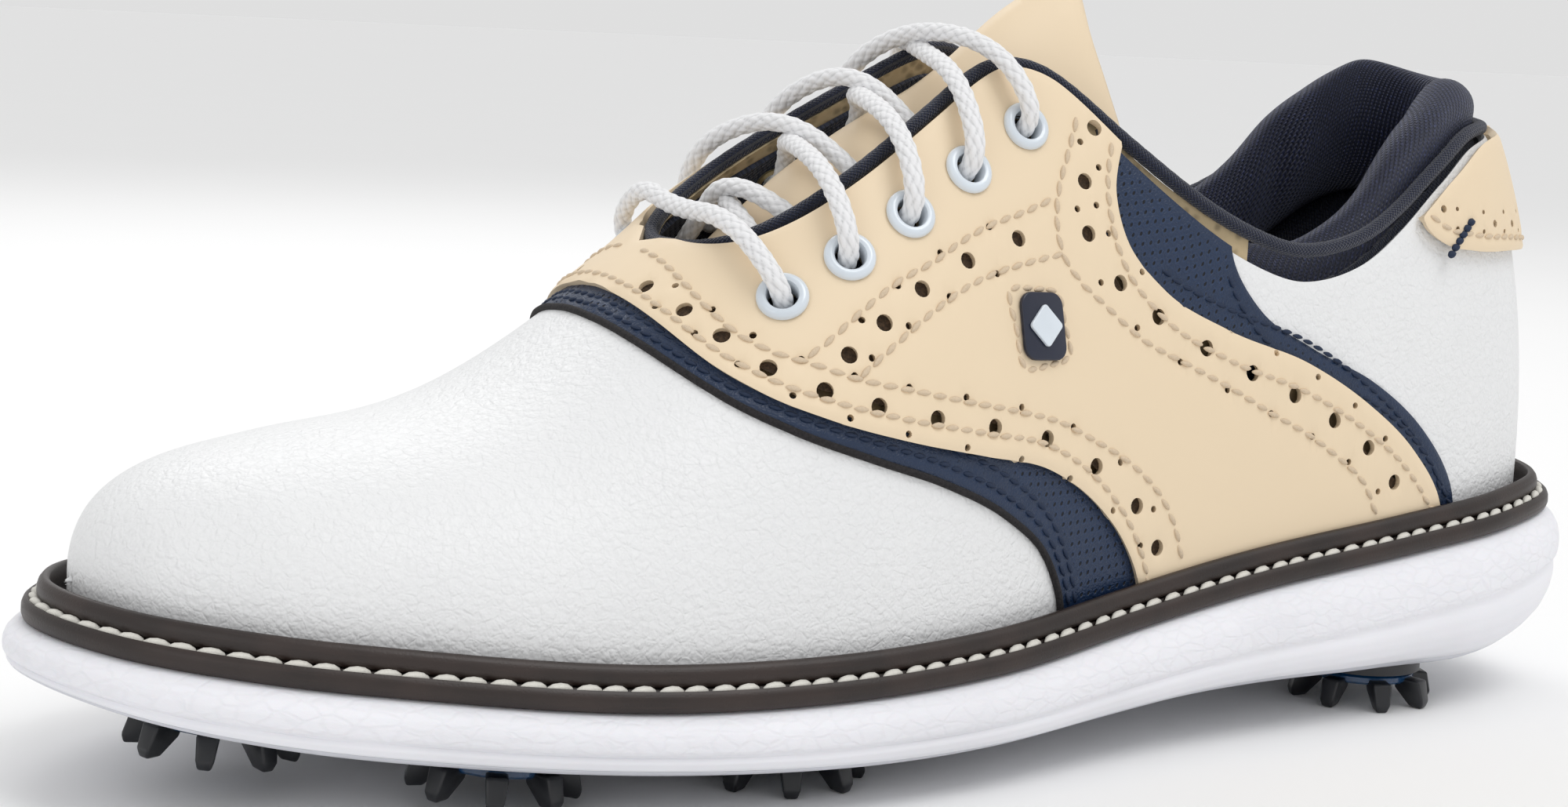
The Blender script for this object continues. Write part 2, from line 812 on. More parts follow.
@dataclass(frozen=True)
class Cloth(Finish):
    """Plain cloth for a carried-over piece, woven on object coordinates."""

    def paint(self, graph: Graph) -> None:
        """Crossed fine yarns with fibre noise."""
        spot = graph.place()
        u, v = graph.split(spot)
        yarn = (u * 5200.0).sine().absolute() * 0.5 + (v * 5200.0).sine().absolute() * 0.5
        fibre = graph.noise(spot, 2400.0, 2.0)
        graph.surface(
            Base_Color=graph.mix(yarn * fibre, self.tone(0.6), self.tone(1.8)),
            Roughness=0.85,
            Normal=graph.bump(yarn * 0.6 + fibre * 0.4, 0.7, 0.2),
            Sheen_Weight=0.2,
        )


@dataclass(frozen=True)
class Metal(Finish):
    """Brushed or plated metal."""

    roughness: float = 0.3

    def paint(self, graph: Graph) -> None:
        """Long brush marks with slight tarnish."""
        marks = graph.noise(graph.stretch(graph.place(), (60.0, 2500.0, 2500.0)), 1.0, 3.0)
        tarnish = graph.noise(graph.place(), 220.0, 3.0)
        graph.surface(
            Base_Color=graph.mix(tarnish.step(0.4, 0.8), self.colour, self.tone(0.7)),
            Metallic=1.0,
            Roughness=self.roughness + marks * 0.2,
            Normal=graph.bump(marks, 0.3, 0.05),
        )


@dataclass(frozen=True)
class Floor(Finish):
    """Pale matt floor."""

    def paint(self, graph: Graph) -> None:
        """A faint unevenness in an almost white matt paint."""
        broad = graph.noise(graph.place(), 9.0, 2.0)
        graph.surface(
            Base_Color=graph.mix(broad, self.tone(0.99), self.tone(1.0)), Roughness=0.7
        )


WHITE_LEATHER = PebbledLeather("white_pebbled_leather", (0.80, 0.805, 0.81))
WHITE_CUT = CutEdge("white_leather_cut_edge", (0.035, 0.03, 0.03))
TAN_NUBUCK = Nubuck("tan_nubuck", (0.66, 0.455, 0.265))
TAN_CUT = CutEdge("tan_nubuck_cut_edge", (0.17, 0.085, 0.035))
NAVY_STRIP = StripLeather("navy_punched_leather", (0.005, 0.019, 0.056))
NAVY_CUT = CutEdge("navy_leather_cut_edge", (0.014, 0.012, 0.013))
NAVY_WEAVE = Weave("navy_woven_binding", (0.005, 0.008, 0.022))
LINING_WEAVE = Weave("dark_lining_cloth", (0.008, 0.011, 0.022), pitch=0.08, turn=20.0, lift=2.6)
COLLAR_KNIT = RibKnit("navy_ribbed_knit", (0.008, 0.011, 0.032))
TAN_THREAD = Thread("cream_thread", (0.70, 0.56, 0.40))
NAVY_THREAD = Thread("navy_thread", (0.006, 0.019, 0.055))
WELT_THREAD = Thread("off_white_welt_thread", (0.76, 0.74, 0.68))
LACE_BRAID = BraidedCotton("white_braided_lace", (0.86, 0.86, 0.87))
EYELET_GLOSS = Moulded("pale_glossy_eyelet", (0.66, 0.72, 0.78), roughness=0.16, coat=0.6)
BADGE_DARK = Moulded("dark_badge", (0.012, 0.016, 0.035), roughness=0.3)
BADGE_PALE = Moulded("pale_badge_emblem", (0.68, 0.74, 0.80), roughness=0.22, coat=0.4)
WELT_BROWN = WeltRubber("dark_brown_welt", (0.020, 0.0115, 0.009))
SOLE_WHITE = SoleSkin("white_sole_skin", (0.83, 0.83, 0.87))
OUTSOLE_WHITE = Moulded("outsole_urethane", (0.70, 0.71, 0.76), roughness=0.35, grain=500.0)
SPIKE_BLACK = Moulded("black_spike_urethane", (0.010, 0.011, 0.014), roughness=0.32)
SPIKE_BLUE = Moulded("deep_blue_spike_disc", (0.006, 0.06, 0.17), roughness=0.16, coat=0.4, clarity=0.35)
AGLET_FILM = Moulded("aglet_film", (0.75, 0.77, 0.8), roughness=0.12, coat=0.5)
SOCKET_NYLON = Moulded("socket_nylon", (0.02, 0.02, 0.023), roughness=0.45)
BOARD_FIBRE = Fibreboard("pressed_board", (0.42, 0.33, 0.2))
CORK_FILL = Fibreboard("cork_filler", (0.30, 0.17, 0.08), scale=900.0)
SHANK_STEEL = Metal("spring_steel", (0.52, 0.53, 0.55))
WASHER_BRASS = Metal("washer_brass", (0.62, 0.45, 0.19), roughness=0.35)
SOCK_CLOTH = Cloth("sockliner_cloth", (0.010, 0.013, 0.025))
FLOOR_WHITE = Floor("pale_floor", (0.9, 0.9, 0.9))
NEEDLE_DARK = CutEdge("needle_hole_shadow", (0.05, 0.03, 0.016))


# ---- the last ----------------------------------------------------------------------------------
@dataclass
class Last:
    """Shape that the upper is pulled over, in millimetres, with a flat map of its surface.

    A place on the map is (a, v): a runs from the toe to the heel, and v from the lateral sole
    edge over the ridge to the medial one.
    """

    feather_inset: float = 9.0
    feather_height: float = 7.2
    toe_centre: float = -98.0
    heel_centre: float = 104.0
    reach: float = 142.0
    girth: float = 45.0
    wall: float = 6.9
    tilt: float = 0.09
    tilt_line: float = 20.0
    outline: tuple = (
        (-151, 8), (-143, -18), (-125, -34), (-98, -45.5), (-66, -52.5), (-36, -54.5), (-6, -52),
        (28, -44.5), (62, -40.5), (95, -39), (122, -35.5), (142, -25.5), (151, -2), (144, 22),
        (124, 35), (96, 38.5), (60, 35), (24, 34), (-10, 41), (-42, 51), (-74, 54.5),
        (-104, 50.5), (-129, 40.5), (-145, 25),
    )
    midsole_top: tuple = (
        (-151, 26), (-110, 22), (-60, 18), (0, 19.5), (60, 27.2), (110, 32.8), (151, 37),
    )
    sole_bottom: tuple = (
        (-151, 17), (-130, 13.2), (-100, 9.8), (-60, 6.8), (-20, 5.5), (20, 6.5), (50, 8),
        (90, 8), (125, 8.2), (151, 14),
    )
    instep: tuple = (
        (-140, 57), (-110, 55.5), (-80, 61.5), (-50, 81.5), (-20, 110), (10, 128.5), (40, 147),
        (70, 161), (100, 136), (140, 130),
    )
    ridge_shift: tuple = ((-140, 5), (-60, 4), (40, 1), (140, 0))
    side_fullness: tuple = (
        (-140, 2.3), (-80, 2.1), (-30, 2.1), (20, 1.75), (60, 1.8), (110, 2.2), (140, 2.2),
    )
    top_fullness: tuple = (
        (-140, 2.25), (-80, 2.2), (-30, 1.9), (20, 1.55), (60, 1.7), (110, 2.2), (140, 2.2),
    )
    topline: tuple = (
        (-50.5, 80.5), (-38, 86.5), (-20, 98), (-4, 108), (9, 115.5), (15, 116.5), (21, 114.5),
        (34, 104.5), (49, 94.5), (61, 89), (71, 86.8), (84, 89), (95, 94.5), (106, 102),
        (116, 107.5), (130, 108),
    )
    plans: dict = field(default_factory=dict)

    def __post_init__(self) -> None:
        """Cuts the sole outline finely, once."""
        self.edge = spline(self.outline, 0.5, closed=True)[:-1]
        ahead = unit(np.roll(self.edge, -1, axis=0) - np.roll(self.edge, 1, axis=0))
        self.inward = np.column_stack([-ahead[:, 1], ahead[:, 0]])

    @property
    def crest(self) -> float:
        """The ridge's v on the map."""
        return math.pi / 2 * self.girth

    @property
    def medial_foot(self) -> float:
        """The v of the upper's lower edge on the medial side."""
        return math.pi * self.girth + self.wall

    def inset(self, distance: float) -> Points:
        """The sole outline drawn in by a distance."""
        return self.edge + self.inward * distance

    def plan(self, level: float) -> dict[str, Points]:
        """Both sides of the form's plan at a level, as y over x."""
        if level not in self.plans:
            ring = self.inset(self.feather_inset - level)
            toe, heel = int(ring[:, 0].argmin()), int(ring[:, 0].argmax())
            lateral = ring[toe:heel + 1] if toe < heel else np.vstack([ring[toe:], ring[:heel + 1]])
            medial = ring[heel:toe + 1] if heel < toe else np.vstack([ring[heel:], ring[:toe + 1]])
            self.plans[level] = {
                "lateral": lateral[np.argsort(lateral[:, 0])],
                "medial": medial[np.argsort(medial[:, 0])],
            }
        return self.plans[level]

    def section(self, x: Points, level: float) -> tuple[Points, ...]:
        """Facts of the cross-section at x.

        Args:
            x: Places along the shoe.
            level: Height above the last.

        Returns:
            Lateral y, medial y, ridge y, feather height, crown height and both exponents.
        """
        plan = self.plan(level)
        y0 = np.interp(x, plan["lateral"][:, 0], plan["lateral"][:, 1])
        y1 = np.interp(x, plan["medial"][:, 0], plan["medial"][:, 1])
        toe, heel = plan["lateral"][0, 0], plan["lateral"][-1, 0]
        ridge = along(self.ridge_shift, x)
        third = 0.3 * (y1 - y0)
        ridge = np.minimum(np.maximum(ridge, y0 + third), y1 - third)
        feather = along(self.midsole_top, x) + self.feather_height
        side, top = along(self.side_fullness, x), along(self.top_fullness, x)
        inner = np.clip(x, self.toe_centre, self.heel_centre)
        run = np.where(x < inner, inner - toe, heel - inner)
        share = np.clip(np.abs(x - inner) / run, 0, 1)
        crown = (along(self.instep, x) + level - feather) * (1 - share ** side) ** (1 / top)
        return y0, y1, ridge, feather, crown, side, top

    def point(self, places: Points, level: float) -> Points:
        """Points in space of places on the map."""
        plan = self.plan(level)
        toe, heel = plan["lateral"][0, 0], plan["lateral"][-1, 0]
        turn = np.clip(places[:, 0] / self.reach, 0, math.pi)
        x = (toe + heel) / 2 - (heel - toe) / 2 * np.cos(turn)
        y0, y1, ridge, feather, crown, side, top = self.section(x, level)
        v = places[:, 1]
        end = math.pi * self.girth
        angle = np.clip(v / self.girth, 0, math.pi)
        out = np.abs(np.cos(angle)) ** (2 / side)
        rise = np.clip(np.sin(angle), 0, 1) ** (2 / top)
        y = ridge + (np.where(v < end / 2, y0, y1) - ridge) * out
        z = feather + crown * rise + np.minimum(v, 0) - np.maximum(v - end, 0)
        return np.column_stack([x, y, z])

    def normal(self, places: Points, level: float) -> Points:
        """Outward normals at places on the map."""
        step = 0.4
        safe = places.copy()
        safe[:, 0] = np.clip(safe[:, 0], 2.5, math.pi * self.reach - 2.5)
        a, v = np.array([[step, 0.0]]), np.array([[0.0, step]])
        ahead = self.point(safe + a, level) - self.point(safe - a, level)
        up = self.point(safe + v, level) - self.point(safe - v, level)
        return unit(np.cross(ahead, up))

    def place(self, x: Points, z: Points, side: Side, level: float = 0.0) -> Points:
        """Places on the map of side-view points (x, z); a z above the ridge lands on it."""
        x, z = np.asarray(x, float), np.asarray(z, float)
        plan = self.plan(level)
        toe, heel = plan["lateral"][0, 0], plan["lateral"][-1, 0]
        turn = np.arccos(np.clip(((toe + heel) / 2 - x) / ((heel - toe) / 2), -1, 1))
        _, _, _, feather, crown, _, top = self.section(x, level)
        share = np.clip((z - feather) / np.maximum(crown, 1e-6), 0, 1)
        v = self.girth * np.arcsin(share ** (top / 2)) + np.minimum(z - feather, 0)
        if side is Side.MEDIAL:
            v = math.pi * self.girth - v
        return np.column_stack([turn * self.reach, v])

    def ridge_height(self, x: Points, level: float = 0.0) -> Points:
        """Height of the ridge at x."""
        _, _, _, feather, crown, _, _ = self.section(x, level)
        return feather + crown

    def seam(self, pattern: Pairs, side: Side, level: float = 0.0, shift: float = 0.0) -> Points:
        """Map line of a side-view pattern line, cut where it meets the ridge and the sole.

        Args:
            pattern: Corners (x, z) of the line, from its top end down.
            side: Side of the shoe.
            level: Height above the last.
            shift: Distance that the line is moved to the heel.

        Returns:
            Places from the ridge or the line's top down to the sole's edge or its bottom.
        """
        line = spline(pattern, 0.8) + np.array([shift, 0.0])
        top = self.ridge_height(line[:, 0], level)
        below = line[:, 1] <= top
        first = int(np.argmax(below))
        line = line[first:]
        foot = along(self.midsole_top, line[:, 0]) + self.feather_height - self.wall
        keep = line[:, 1] >= foot
        line = line[keep]
        places = self.place(line[:, 0], line[:, 1], side, level)
        if first > 0:
            crest = places[0].copy()
            crest[1] = self.crest
            places = np.vstack([crest, places])
        return places

    def over(self, pattern: Pairs, level: float = 0.0, shift: float = 0.0) -> Points:
        """Map line of a pattern line that goes right over the shoe, lateral foot to medial foot."""
        left = self.seam(pattern, Side.LATERAL, level, shift)
        right = self.seam(pattern, Side.MEDIAL, level, shift)
        return np.vstack([left[::-1], right[1:]])

    def opening(self, side: Side, drop: float, level: float = -1.15) -> Points:
        """Map line of the opening's edge on one side, from the throat's ridge to the heel's.

        Args:
            side: Side of the shoe.
            drop: Distance that the edge is lowered, along the surface.
            level: Height above the last at which the edge is found.

        Returns:
            Places on the map.
        """
        xs = np.concatenate([np.linspace(-50.5, -40, 24), np.linspace(-39.5, 141, 240)])
        guess = np.full(len(xs), side.value * self.tilt_line)
        for _ in range(6):
            z = along(self.topline, xs) + self.tilt * (guess + self.tilt_line)
            places = self.place(xs, z, side, level)
            guess = self.point(places, level)[:, 1]
        gap = z - self.ridge_height(xs, level)
        low = np.flatnonzero(gap < 0)
        places = places[low[0]:low[-1] + 1]
        ends = [[places[0, 0] - 0.4 - drop, self.crest], [places[-1, 0] + 0.4 + drop, self.crest]]
        places = places + [0.0, side.value * drop]
        return np.vstack([ends[0], places, ends[1]])


LAST = Last()


class Edge:
    """Side-view pattern lines (x, z) of the upper, in millimetres, each from its top down."""

    VAMP = (
        (-60, 90), (-59.5, 74), (-56, 69.5), (-50, 64.5), (-40, 59.5), (-27, 55), (-13, 50.5),
        (0, 44.5), (9, 37.5), (13, 30), (14, 14),
    )
    SADDLE_FRONT = (
        (-57, 92), (-56, 76.5), (-52, 70), (-45, 65), (-35, 61), (-20, 57), (-5, 54), (9, 51),
        (19, 45.5), (27, 37.5), (31, 30), (32, 14),
    )
    SADDLE_REAR = (
        (38, 122), (32, 106), (29, 96), (30.5, 88), (38, 79.5), (52, 72.5), (70, 66.5),
        (85, 58.5), (97, 49.5), (104, 41), (107, 26),
    )
    ACCENT_REAR = (
        (53, 112), (53.5, 92), (54.5, 84), (60, 76), (72, 69), (87, 62.5), (100, 53.5),
        (108.5, 43), (112, 28),
    )
    FRONT_BAND = (
        (-49, 84), (-49, 80.5), (-48, 76.5), (-46, 73.5), (-42, 71), (-37, 69.5), (-29, 67),
        (-19, 65), (-9, 63), (4, 60.5), (12, 58.5), (20, 55), (27, 51.5), (32, 48), (36, 44),
        (39, 39), (41, 33),
    )
    FRONT_HOLES = (
        (-53, 79), (-51, 76.3), (-48, 73), (-43, 68.6), (-35, 65.3), (-26, 62.8), (-15, 60.5),
        (-3, 58.6), (9, 56), (20.5, 50.6), (30, 43.2), (35, 35.6),
    )
    DIAGONAL_UPPER = (
        (-37, 70.2), (-34, 72), (-27, 77), (-19, 82), (-12, 85), (-5, 88.5), (0, 90.5), (9, 93),
        (15, 95),
    )
    DIAGONAL_LOWER = ((-29, 67.2), (-22, 72), (-14, 77), (-6, 81), (2, 83.5), (7, 84.5), (16, 86))
    DIAGONAL_HOLES = ((-30, 70.7), (-23, 75.6), (-15, 80.8), (-5, 85.2), (6.5, 88.6))
    REAR_BAND = (
        (24, 111), (20, 103), (16.5, 96), (15.3, 91), (16, 85.5), (19, 81.5), (24, 77.5),
        (32, 71.5), (43, 66.5), (53, 62), (61, 58), (70, 53.8), (78, 49), (84, 44.5), (88, 38),
    )
    REAR_HOLES = (
        (26, 107), (22.5, 98), (22, 89.3), (28, 81), (36, 75.2), (46.5, 69.6), (57, 65), (67, 60.8),
        (76.5, 56), (85, 50.7), (92, 44),
    )
    TAB_FRONT = (
        (106, 103.5), (101.5, 99), (98.3, 95), (99.5, 91), (104.5, 87.5), (112, 86.3), (126, 86),
        (150, 86),
    )


# ---- panels of the upper -----------------------------------------------------------------------
@dataclass
class Hole:
    """Round hole through a panel."""

    centre: Points
    radius: float


@dataclass
class Panel:
    """A cut leather or cloth panel, laid on the last.

    Its outline and holes are on the last's map; the mesh gets real thickness, rounded cut edges,
    seams that are pulled down, and a map of its own surface.
    """

    name: str
    outline: Points
    level: float
    thick: float
    spacing: float = 2.0
    holes: list[Hole] = field(default_factory=list)
    seams: list[Points] = field(default_factory=list)
    roll: float = 0.35
    pull: float = 0.22
    foot: bool = True
    cutouts: list[Points] = field(default_factory=list)

    def ring(self, centre: Points, radius: float, count: int) -> Points:
        """Map outline of a circle on the surface round a place."""
        centre = np.asarray(centre, float).reshape(1, 2)
        step = 0.3
        a, v = (
            (LAST.point(centre + [way], self.level) - LAST.point(centre - [way], self.level))[0]
            for way in ([step, 0], [0, step])
        )
        jacobian = np.column_stack([a, v]) / (2 * step)
        first = unit(a[None])[0]
        normal = unit(np.cross(a, v)[None])[0]
        second = np.cross(normal, first)
        turns = np.linspace(0, 2 * math.pi, count, endpoint=False)
        flat = radius * (np.outer(np.cos(turns), first) + np.outer(np.sin(turns), second))
        return centre + flat @ np.linalg.pinv(jacobian).T

    def _round(self, hole: Hole, grow: float) -> Points:
        """Map outline of a hole, wider by a distance; large holes get more corners."""
        return self.ring(hole.centre, hole.radius + grow, 16 if hole.radius > 1 else 9)

    def build(self) -> bpy.types.Object:
        """Cuts the panel, lays it on the last and gives it thickness."""
        outline = self._clean(self.outline)
        loops = [outline] + [self._clean(loop) for loop in self.cutouts]
        loops += [self._round(hole, 0.0) for hole in self.holes]
        fillers = [self._grid(outline), self._inner(outline, 0.45), self._inner(outline, 1.1)]
        fillers += [self._round(hole, 0.45) for hole in self.holes]
        free = np.vstack([f for f in fillers if len(f)])
        free = free[inside(free, outline)]
        for loop in loops[1:]:
            free = free[~self._within(free, loop)]
        borders = np.vstack(loops)
        free = free[nearest(free, borders) > 0.28]
        every = np.vstack([borders, free])
        edges, start = [], 0
        for loop in loops:
            count = len(loop)
            edges += [(start + i, start + (i + 1) % count) for i in range(count)]
            start += count
        cut = delaunay_2d_cdt([Vector(p) for p in every], edges, [], 0, 1e-5)
        places = np.array([tuple(v) for v in cut[0]])
        faces = np.array([tuple(f) for f in cut[2]])
        middle = places[faces].mean(axis=1)
        keep = inside(middle, outline)
        for loop in loops[1:]:
            keep &= ~self._within(middle, loop)
        faces = faces[keep]
        a, b, c = (places[faces[:, i]] for i in range(3))
        area = (b[:, 0] - a[:, 0]) * (c[:, 1] - a[:, 1]) - (b[:, 1] - a[:, 1]) * (c[:, 0] - a[:, 0])
        faces[area < 0] = faces[area < 0][:, ::-1]
        return self._lay(places, faces, loops)

    @staticmethod
    def _within(points: Points, loop: Points) -> Points:
        """Whether points lie inside a loop; only those near it are tested."""
        low, high = loop.min(axis=0), loop.max(axis=0)
        found = ((points >= low) & (points <= high)).all(axis=1)
        found[found] = inside(points[found], loop)
        return found

    def _clean(self, outline: Points) -> Points:
        """The outline without repeated or nearly repeated points."""
        keep = [outline[0]]
        for p in outline[1:]:
            if np.linalg.norm(p - keep[-1]) > 0.25:
                keep.append(p)
        if np.linalg.norm(keep[0] - keep[-1]) < 0.25:
            keep.pop()
        return np.array(keep)

    def _grid(self, outline: Points) -> Points:
        """Staggered grid of places over the outline's box."""
        low, high = outline.min(axis=0), outline.max(axis=0)
        rows = np.arange(low[1], high[1], self.spacing * 0.87)
        columns = np.arange(low[0], high[0], self.spacing)
        a, v = np.meshgrid(columns, rows)
        a = a + (np.arange(len(rows)) % 2)[:, None] * self.spacing / 2
        grid = np.column_stack([a.ravel(), v.ravel()])
        return grid[nearest(grid, outline) > 1.5]

    def _inner(self, outline: Points, distance: float) -> Points:
        """The outline drawn in by a distance, both ways; what falls outside is dropped later."""
        ahead = unit(np.roll(outline, -1, axis=0) - np.roll(outline, 1, axis=0))
        side = np.column_stack([-ahead[:, 1], ahead[:, 0]])
        both = np.vstack([outline + side * distance, outline - side * distance])
        return both[nearest(both, outline) > distance * 0.8]

    def _lay(self, places: Points, faces: Points, loops: list[Points]) -> bpy.types.Object:
        """Lays the cut mesh on the last and thickens it."""
        flat = LAST.point(places, self.level)
        normals = LAST.normal(places, self.level)
        outline = loops[0]
        rims = outline if not self.foot else outline[
            (outline[:, 1] > -LAST.wall + 0.5) & (outline[:, 1] < LAST.medial_foot - 0.5)
        ]
        edge, hole, seam = (self._away(flat, lines) for lines in ([rims], loops[1:], self.seams))
        drop = self.roll * (1 - smooth(edge, 0, 1.3)) ** 2
        drop += 0.18 * (1 - smooth(hole, 0, 0.8))
        drop += self.pull * (1 - smooth(seam, 0, 1.8))
        verts = flat - normals * drop[:, None]
        piece = add_mesh(
            self.name, verts, faces, self._map(places), {"edge": edge, "hole": hole, "seam": seam}
        )
        merge(piece, 0.00002, outwards=False)
        apply_modifier(
            piece, "SOLIDIFY", thickness=self.thick * MM, offset=-1.0, material_offset_rim=1,
            use_quality_normals=True,
        )
        shade(piece, 40.0)
        return piece

    def _away(self, flat: Points, lines: Sequence[Points]) -> Points:
        """Distance from points in space to map lines, at most FAR."""
        if not sum(len(line) for line in lines):
            return np.full(len(flat), FAR)
        return np.minimum(nearest(flat, LAST.point(np.vstack(lines), self.level)), FAR)

    def _map(self, places: Points) -> Points:
        """Centimetres along the shoe and round it, for patterns that follow the surface."""
        stops = np.linspace(-LAST.wall, LAST.medial_foot, 140)
        rows = np.linspace(0, math.pi * LAST.reach, 120)
        grid = np.array([[r, s] for r in rows for s in stops])
        shell = LAST.point(grid, self.level).reshape(len(rows), len(stops), 3)
        arc = np.concatenate(
            [np.zeros((len(rows), 1)), np.linalg.norm(np.diff(shell, axis=1), axis=2).cumsum(axis=1)], axis=1
        )
        arc = arc - arc[:, -1:] / 2
        i = np.clip(places[:, 0] / rows[1], 0, len(rows) - 1.001)
        j = np.clip((places[:, 1] - stops[0]) / (stops[1] - stops[0]), 0, len(stops) - 1.001)
        i0, j0 = i.astype(int), j.astype(int)
        fi, fj = i - i0, j - j0
        v = (
            arc[i0, j0] * (1 - fi) * (1 - fj) + arc[i0 + 1, j0] * fi * (1 - fj)
            + arc[i0, j0 + 1] * (1 - fi) * fj + arc[i0 + 1, j0 + 1] * fi * fj
        )
        u = LAST.point(places, self.level)[:, 0]
        return np.column_stack([u, v]) / 10


# ---- sewing ------------------------------------------------------------------------------------
@dataclass
class Sewing:
    """A row of stitches along a line on the upper."""

    name: str
    finish: Finish
    slot: str
    level: float
    pitch: float = 3.0
    width: float = 0.85
    height: float = 0.42
    slant: float = 9.0

    def stitch(self, length: float) -> bpy.types.Object:
        """One stitch at the origin, in millimetres: a plump thread that dives at both ends."""
        deselect()
        bpy.ops.mesh.primitive_uv_sphere_add(
            segments=8, ring_count=6, radius=1.0, rotation=(0, math.pi / 2, 0)
        )
        piece = bpy.context.object
        bpy.ops.object.transform_apply(location=True, rotation=True, scale=True)
        for vertex in piece.data.vertices:
            reach = abs(vertex.co.x)
            vertex.co.x *= length / 2
            vertex.co.y *= self.width / 2 * (1.0 + 0.25 * (1 - reach))
            vertex.co.z = vertex.co.z * self.height - 0.35 * self.height * reach ** 3
        return piece

    def along(self, lines: Sequence[Points], closed: bool = False) -> bpy.types.Object:
        """Sews along lines on the last's map.

        Args:
            lines: Map lines, each sewn on its own.
            closed: Whether the lines are closed loops.

        Returns:
            One piece with every stitch of the lines.
        """
        places, frames = [], []
        for line in lines:
            dense = LAST.point(line, self.level)
            length = reach_of(dense)
            count = max(int(length[-1] / self.pitch), 2)
            at = (np.arange(count) + 0.5) * length[-1] / count
            spot = np.column_stack([np.interp(at, length, line[:, i]) for i in range(2)])
            here = LAST.point(spot, self.level)
            normal = LAST.normal(spot, self.level)
            ahead = np.column_stack([np.interp(at + 0.8, length, dense[:, i]) for i in range(3)])
            behind = np.column_stack([np.interp(at - 0.8, length, dense[:, i]) for i in range(3)])
            tangent = unit(ahead - behind)
            tangent = unit(tangent - normal * (tangent * normal).sum(axis=1, keepdims=True))
            side = np.cross(normal, tangent)
            lean = math.radians(self.slant)
            first = tangent * math.cos(lean) + side * math.sin(lean)
            second = np.cross(normal, first)
            places.append(here)
            frames.append(np.stack([first, second, normal], axis=1))
        pattern = self.stitch(self.pitch * 0.93)
        piece = copies(self.name, pattern, np.vstack(places), np.concatenate(frames))
        shade(piece, 60.0)
        return finish_piece(piece, "shoe", [self.finish])


def offset(line: Points, distance: float) -> Points:
    """A map line moved to its right-hand side."""
    ahead = unit(np.gradient(line, axis=0))
    return line + np.column_stack([ahead[:, 1], -ahead[:, 0]]) * distance


